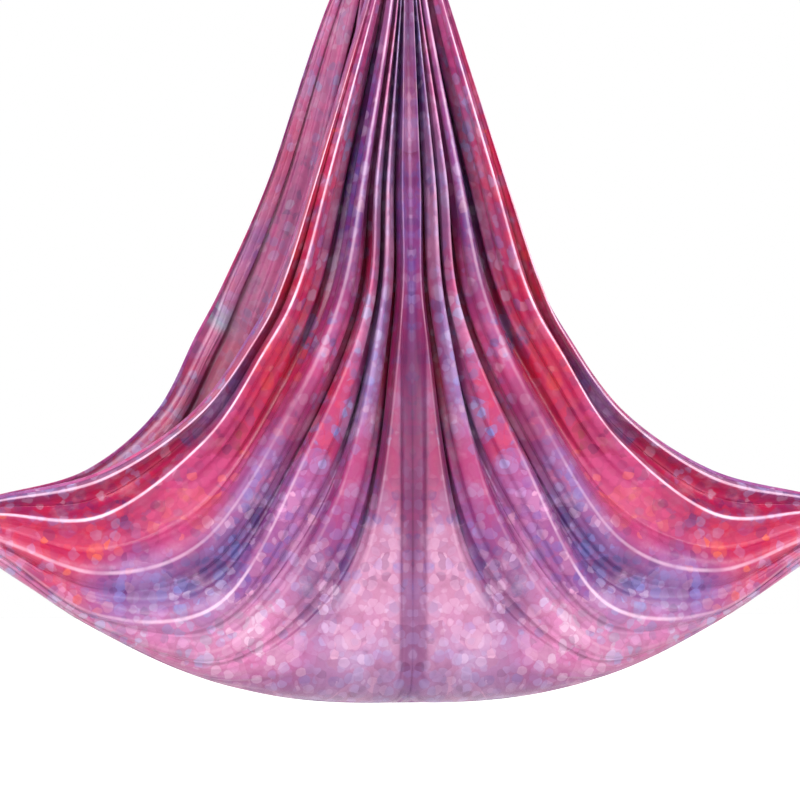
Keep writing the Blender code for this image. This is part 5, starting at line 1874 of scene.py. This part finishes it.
        # Painted shade between the lobes, with no painted highlight.
        fold = np.stack([np.full(deep.shape, 0.3), 0 * deep, 0.85 * deep], axis=-1)
        paints = painted(wash, np.broadcast_to(colours[0], wash.shape), fold)
        sheet.paint(knot, flat.reshape(-1, 2), paints)


@dataclass
class Hem:
    """The narrow hem along one selvedge of the loop, with its stitches."""

    side: Side
    width: float = 0.01
    half_thickness: float = 0.0011
    pitch: float = 0.0065
    stitch: tuple[float, float] = (0.0021, 0.00042)
    stitch_at: float = 0.74
    stitch_rise: float = 0.0002
    sides: int = 12

    def build(self, sheet: Sheet, cloth: bpy.types.Material, thread: bpy.types.Material) -> list[bpy.types.Object]:
        """Makes the hem and its two rows of stitches.

        Args:
            sheet: The sheet that it edges.
            cloth: The sheet's material.
            thread: The stitches' material.

        Returns:
            The hem and the stitches.
        """
        edge, inner, normal = self.edge(sheet)
        name = self.side.name.lower()
        hem = self.fold(sheet, edge, inner, normal, name)
        hem.data.materials.append(cloth)
        dressed(hem, "hammock", "printed_tricot")
        rows = []
        for face in (-1, 1):
            rise = face * (self.half_thickness + self.stitch_rise)
            line = edge + (inner - edge) * self.stitch_at + normal * rise
            rows.append(self.stitches(f"{name}_hem_stitches_{'in' if face < 0 else 'out'}", line, thread))
        return [hem, *rows]

    def edge(self, sheet: Sheet) -> tuple[Array, Array, Array]:
        """The selvedge from knot to knot, the line a hem's width in from it, and the normals."""
        stretches = []
        for panel in Panel:
            grid = sheet.grids[panel, self.side]
            inner = []
            for row, length in zip(grid, travelled(grid[:, :12], 1)):
                reach = min(self.width, 0.45 * length[-1])
                inner.append([np.interp(reach, length, row[:12, axis]) for axis in range(3)])
            edge, inner = grid[:, 0], np.array(inner)
            order = slice(None) if panel is Panel.FRONT else slice(None, None, -1)
            stretches.append((edge[order], inner[order]))
        edge = np.concatenate([stretches[0][0], stretches[1][0][1:]])
        inner = np.concatenate([stretches[0][1], stretches[1][1][1:]])
        along = np.gradient(edge, axis=0)
        normal = np.cross(along, inner - edge)
        normal /= np.maximum(np.linalg.norm(normal, axis=1), 1e-9)[:, None]
        return edge, inner, normal

    def fold(self, sheet: Sheet, edge: Array, inner: Array, normal: Array, name: str) -> bpy.types.Object:
        """The folded cloth of the hem, a flat rounded tube round the sheet's edge."""
        across = inner - edge
        angle = 2 * np.pi * np.arange(self.sides) / self.sides
        reach = 0.5 - 0.54 * np.cos(angle)
        rise = np.sign(np.sin(angle)) * np.abs(np.sin(angle)) ** 0.6 * self.half_thickness
        grid = edge[:, None] + across[:, None] * reach[None, :, None] + normal[:, None] * rise[None, :, None]
        faces = lattice(len(edge), self.sides, False, True)
        hem = mesh_object(f"{name}_hem", grid.reshape(-1, 3), faces)
        along = travelled(edge)
        from_middle = sheet.flat[0] / 2 - self.width * (1 - reach)
        flat = np.stack(np.broadcast_arrays(from_middle[None, :], along[:, None]), axis=-1)
        tone = 0.5 + 0.5 * np.sin(7.0 * along + self.side.value)[:, None] * np.ones((1, self.sides))
        first, second = np.array(linear(ROSE)), np.array(linear(VIOLET))
        wash = first + (second - first) * (0.7 * tone)[..., None]
        # A little painted shade over the whole hem, with no painted highlight.
        fold = np.broadcast_to((0.9, 0.0, 0.15), wash.shape)
        sheet.paint(hem, flat.reshape(-1, 2), painted(wash, wash, fold))
        return hem

    def stitches(self, name: str, line: Array, thread: bpy.types.Material) -> bpy.types.Object:
        """A row of stitches along a line, from the stitch tree."""
        curve = bpy.data.curves.new(name, "CURVE")
        curve.dimensions = "3D"
        spline = curve.splines.new("POLY")
        spline.points.add(len(line) - 1)
        for point, place in zip(spline.points, line):
            point.co = (*place, 1.0)
        guide = linked(bpy.data.objects.new(f"{name}_guide", curve))
        modifier = guide.modifiers.new("stitches", "NODES")
        modifier.node_group = stitch_tree()
        values = {"Pitch": self.pitch, "Length": self.stitch[0], "Thickness": self.stitch[1], "Thread": thread}
        for item in modifier.node_group.interface.items_tree:
            if item.item_type == "SOCKET" and item.name in values:
                modifier[item.identifier] = values[item.name]
        graph = bpy.context.evaluated_depsgraph_get()
        mesh = bpy.data.meshes.new_from_object(guide.evaluated_get(graph))
        bpy.data.objects.remove(guide)
        return dressed(linked(bpy.data.objects.new(name, mesh)), "hammock", "printed_tricot")


def stitch_tree() -> bpy.types.NodeTree:
    """Geometry Nodes that lay short stitches end to end along a curve."""
    found = bpy.data.node_groups.get("hem_stitches")
    if found:
        return found
    tree = bpy.data.node_groups.new("hem_stitches", "GeometryNodeTree")
    tree.interface.new_socket("Geometry", in_out="INPUT", socket_type="NodeSocketGeometry")
    for label in ("Pitch", "Length", "Thickness"):
        tree.interface.new_socket(label, in_out="INPUT", socket_type="NodeSocketFloat")
    tree.interface.new_socket("Thread", in_out="INPUT", socket_type="NodeSocketMaterial")
    tree.interface.new_socket("Geometry", in_out="OUTPUT", socket_type="NodeSocketGeometry")
    make = NodeWriter(tree, "")
    entry, leave = make.node("NodeGroupInput").outputs, make.node("NodeGroupOutput")
    spaced = {"Curve": entry["Geometry"], "Length": entry["Pitch"]}
    points = make.node("GeometryNodeResampleCurve", spaced, mode="LENGTH")
    bead = make.node("GeometryNodeMeshIcoSphere", {"Radius": 1.0, "Subdivisions": 1})
    axes = {"X": entry["Thickness"], "Y": entry["Thickness"], "Z": entry["Length"]}
    size = make.node("ShaderNodeCombineXYZ", axes)
    shaped = make.node("GeometryNodeTransform", {"Geometry": bead.outputs["Mesh"], "Scale": size.outputs[0]})
    tangent = make.node("GeometryNodeInputTangent")
    turn = make.node("FunctionNodeAlignRotationToVector", {"Vector": tangent.outputs[0]}, axis="Z")
    laid = {
        "Points": points.outputs["Curve"],
        "Instance": shaped.outputs["Geometry"],
        "Rotation": turn.outputs["Rotation"],
    }
    copies = make.node("GeometryNodeInstanceOnPoints", laid)
    real = make.node("GeometryNodeRealizeInstances", {"Geometry": copies.outputs["Instances"]})
    sewn = {"Geometry": real.outputs["Geometry"], "Material": entry["Thread"]}
    finish = make.node("GeometryNodeSetMaterial", sewn)
    make.feed(leave, {"Geometry": finish.outputs["Geometry"]})
    return tree


# The softboxes: name, place, size and power.
LAMPS = (
    ("left", (-3.4, -5.4, 1.4), 1.3, 290.0),
    ("right", (3.0, -5.6, 1.2), 1.3, 250.0),
    ("top", (0.0, 0.2, 3.4), 2.6, 150.0),
    ("back", (0.6, 5.4, 0.6), 3.0, 170.0),
)


@dataclass
class Studio:
    """The plain room: a white floor, soft lamps and the camera."""

    floor_z: float = -3.2
    floor_size: float = 40.0
    floor_white: float = 0.86
    glow: tuple[float, float] = (1.5, 4.5)
    ambient: float = 0.28
    azimuth: float = math.radians(-8)
    distance: float = 14.0
    sensor: float = 36.0
    span: float = 2.16
    target: tuple[float, float, float] = (0.0165, 0.0, -1.766)

    def build(self) -> None:
        """Makes the room."""
        self.world()
        self.floor()
        for lamp in LAMPS:
            self.lamp(*lamp)
        self.camera()

    def world(self) -> None:
        """A pale world that the camera sees as white."""
        world = bpy.data.worlds.new("room")
        bpy.context.scene.world = world
        world.use_nodes = True
        make = NodeWriter(world.node_tree)
        path = make.node("LightPath")
        seen = make.maths("MAXIMUM", path.outputs["Is Camera Ray"], path.outputs["Is Glossy Ray"])
        strength = make.maths("MULTIPLY_ADD", seen, 1 - self.ambient, self.ambient)
        make.feed(world.node_tree.nodes["Background"], {"Strength": strength, "Color": (1.0, 1.0, 1.0)})

    def floor(self) -> None:
        """A wide pale floor under the hammock."""
        half = self.floor_size / 2
        corners = np.array([(-half, -half, 0), (half, -half, 0), (half, half, 0), (-half, half, 0)], float)
        corners[:, 2] = self.floor_z
        floor = mesh_object("studio_floor", corners, [(0, 1, 2, 3)], smooth=False)
        finish, make, shader = surface("floor_white")
        place = make.node("NewGeometry").outputs["Position"]
        flat = make.node("VectorMath", {0: place, 1: (1.0, 1.0, 0.0)}, operation="MULTIPLY")
        far = make.node("VectorMath", {0: flat.outputs[0]}, operation="LENGTH").outputs["Value"]
        inputs = {
            "Base Color": (self.floor_white,) * 3,
            "Roughness": 0.8,
            "Emission Strength": make.ramp(far, *self.glow),
            "Emission Color": (1.0, 1.0, 1.0),
        }
        make.feed(shader, inputs)
        floor.data.materials.append(finish)

    def lamp(self, name: str, place: tuple[float, float, float], size: float, power: float) -> None:
        """A square softbox aimed at the middle of the hammock."""
        data = bpy.data.lights.new(name, "AREA")
        data.size = size
        data.energy = power
        lamp = linked(bpy.data.objects.new(name, data))
        lamp.location = place
        aim = Vector(self.target) - Vector(place)
        lamp.rotation_euler = aim.to_track_quat("-Z", "Y").to_euler()

    def camera(self) -> None:
        """The camera, level with the belly and a little to the left."""
        data = bpy.data.cameras.new("camera")
        data.sensor_width = self.sensor
        data.lens = self.sensor * self.distance / self.span
        camera = linked(bpy.data.objects.new("camera", data))
        back = Vector((math.sin(self.azimuth), -math.cos(self.azimuth), 0.0))
        camera.location = Vector(self.target) + back * self.distance
        camera.rotation_euler = (-back).to_track_quat("-Z", "Y").to_euler()
        bpy.context.scene.camera = camera


def main() -> None:
    """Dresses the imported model."""
    logging.basicConfig(level=logging.INFO, format="%(message)s")
    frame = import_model()
    bpy.context.scene.view_settings.view_transform = "Standard"
    Studio().build()
    finishes = Finishes()
    finishes.build()
    finishes.dress(frame)
    anchor = RIG @ Matrix.Translation((0.0, 0.0, ANCHOR_Z)) @ Matrix.Rotation(math.pi, 4, "Y")
    Carabiner("anchor", "anchor", anchor).build(finishes)
    Carabiner("front", "hammock", hung_place(-1)).build(finishes)
    Carabiner("rear", "hammock", hung_place(1)).build(finishes)
    Swivel().build(finishes)
    sheet = Sheet()
    tricot = TricotPrint().material("printed_tricot_cloth")
    cloth = sheet.build()
    cloth.data.materials.append(tricot)
    dressed(cloth, "hammock", "printed_tricot", "hammock_cloth")
    knots = [Knot(panel).build(sheet, tricot) for panel in Panel]
    thread = Thread().material("hem_thread")
    hems = [piece for side in Side for piece in Hem(side).build(sheet, tricot, thread)]


if __name__ == "__main__":
    main()
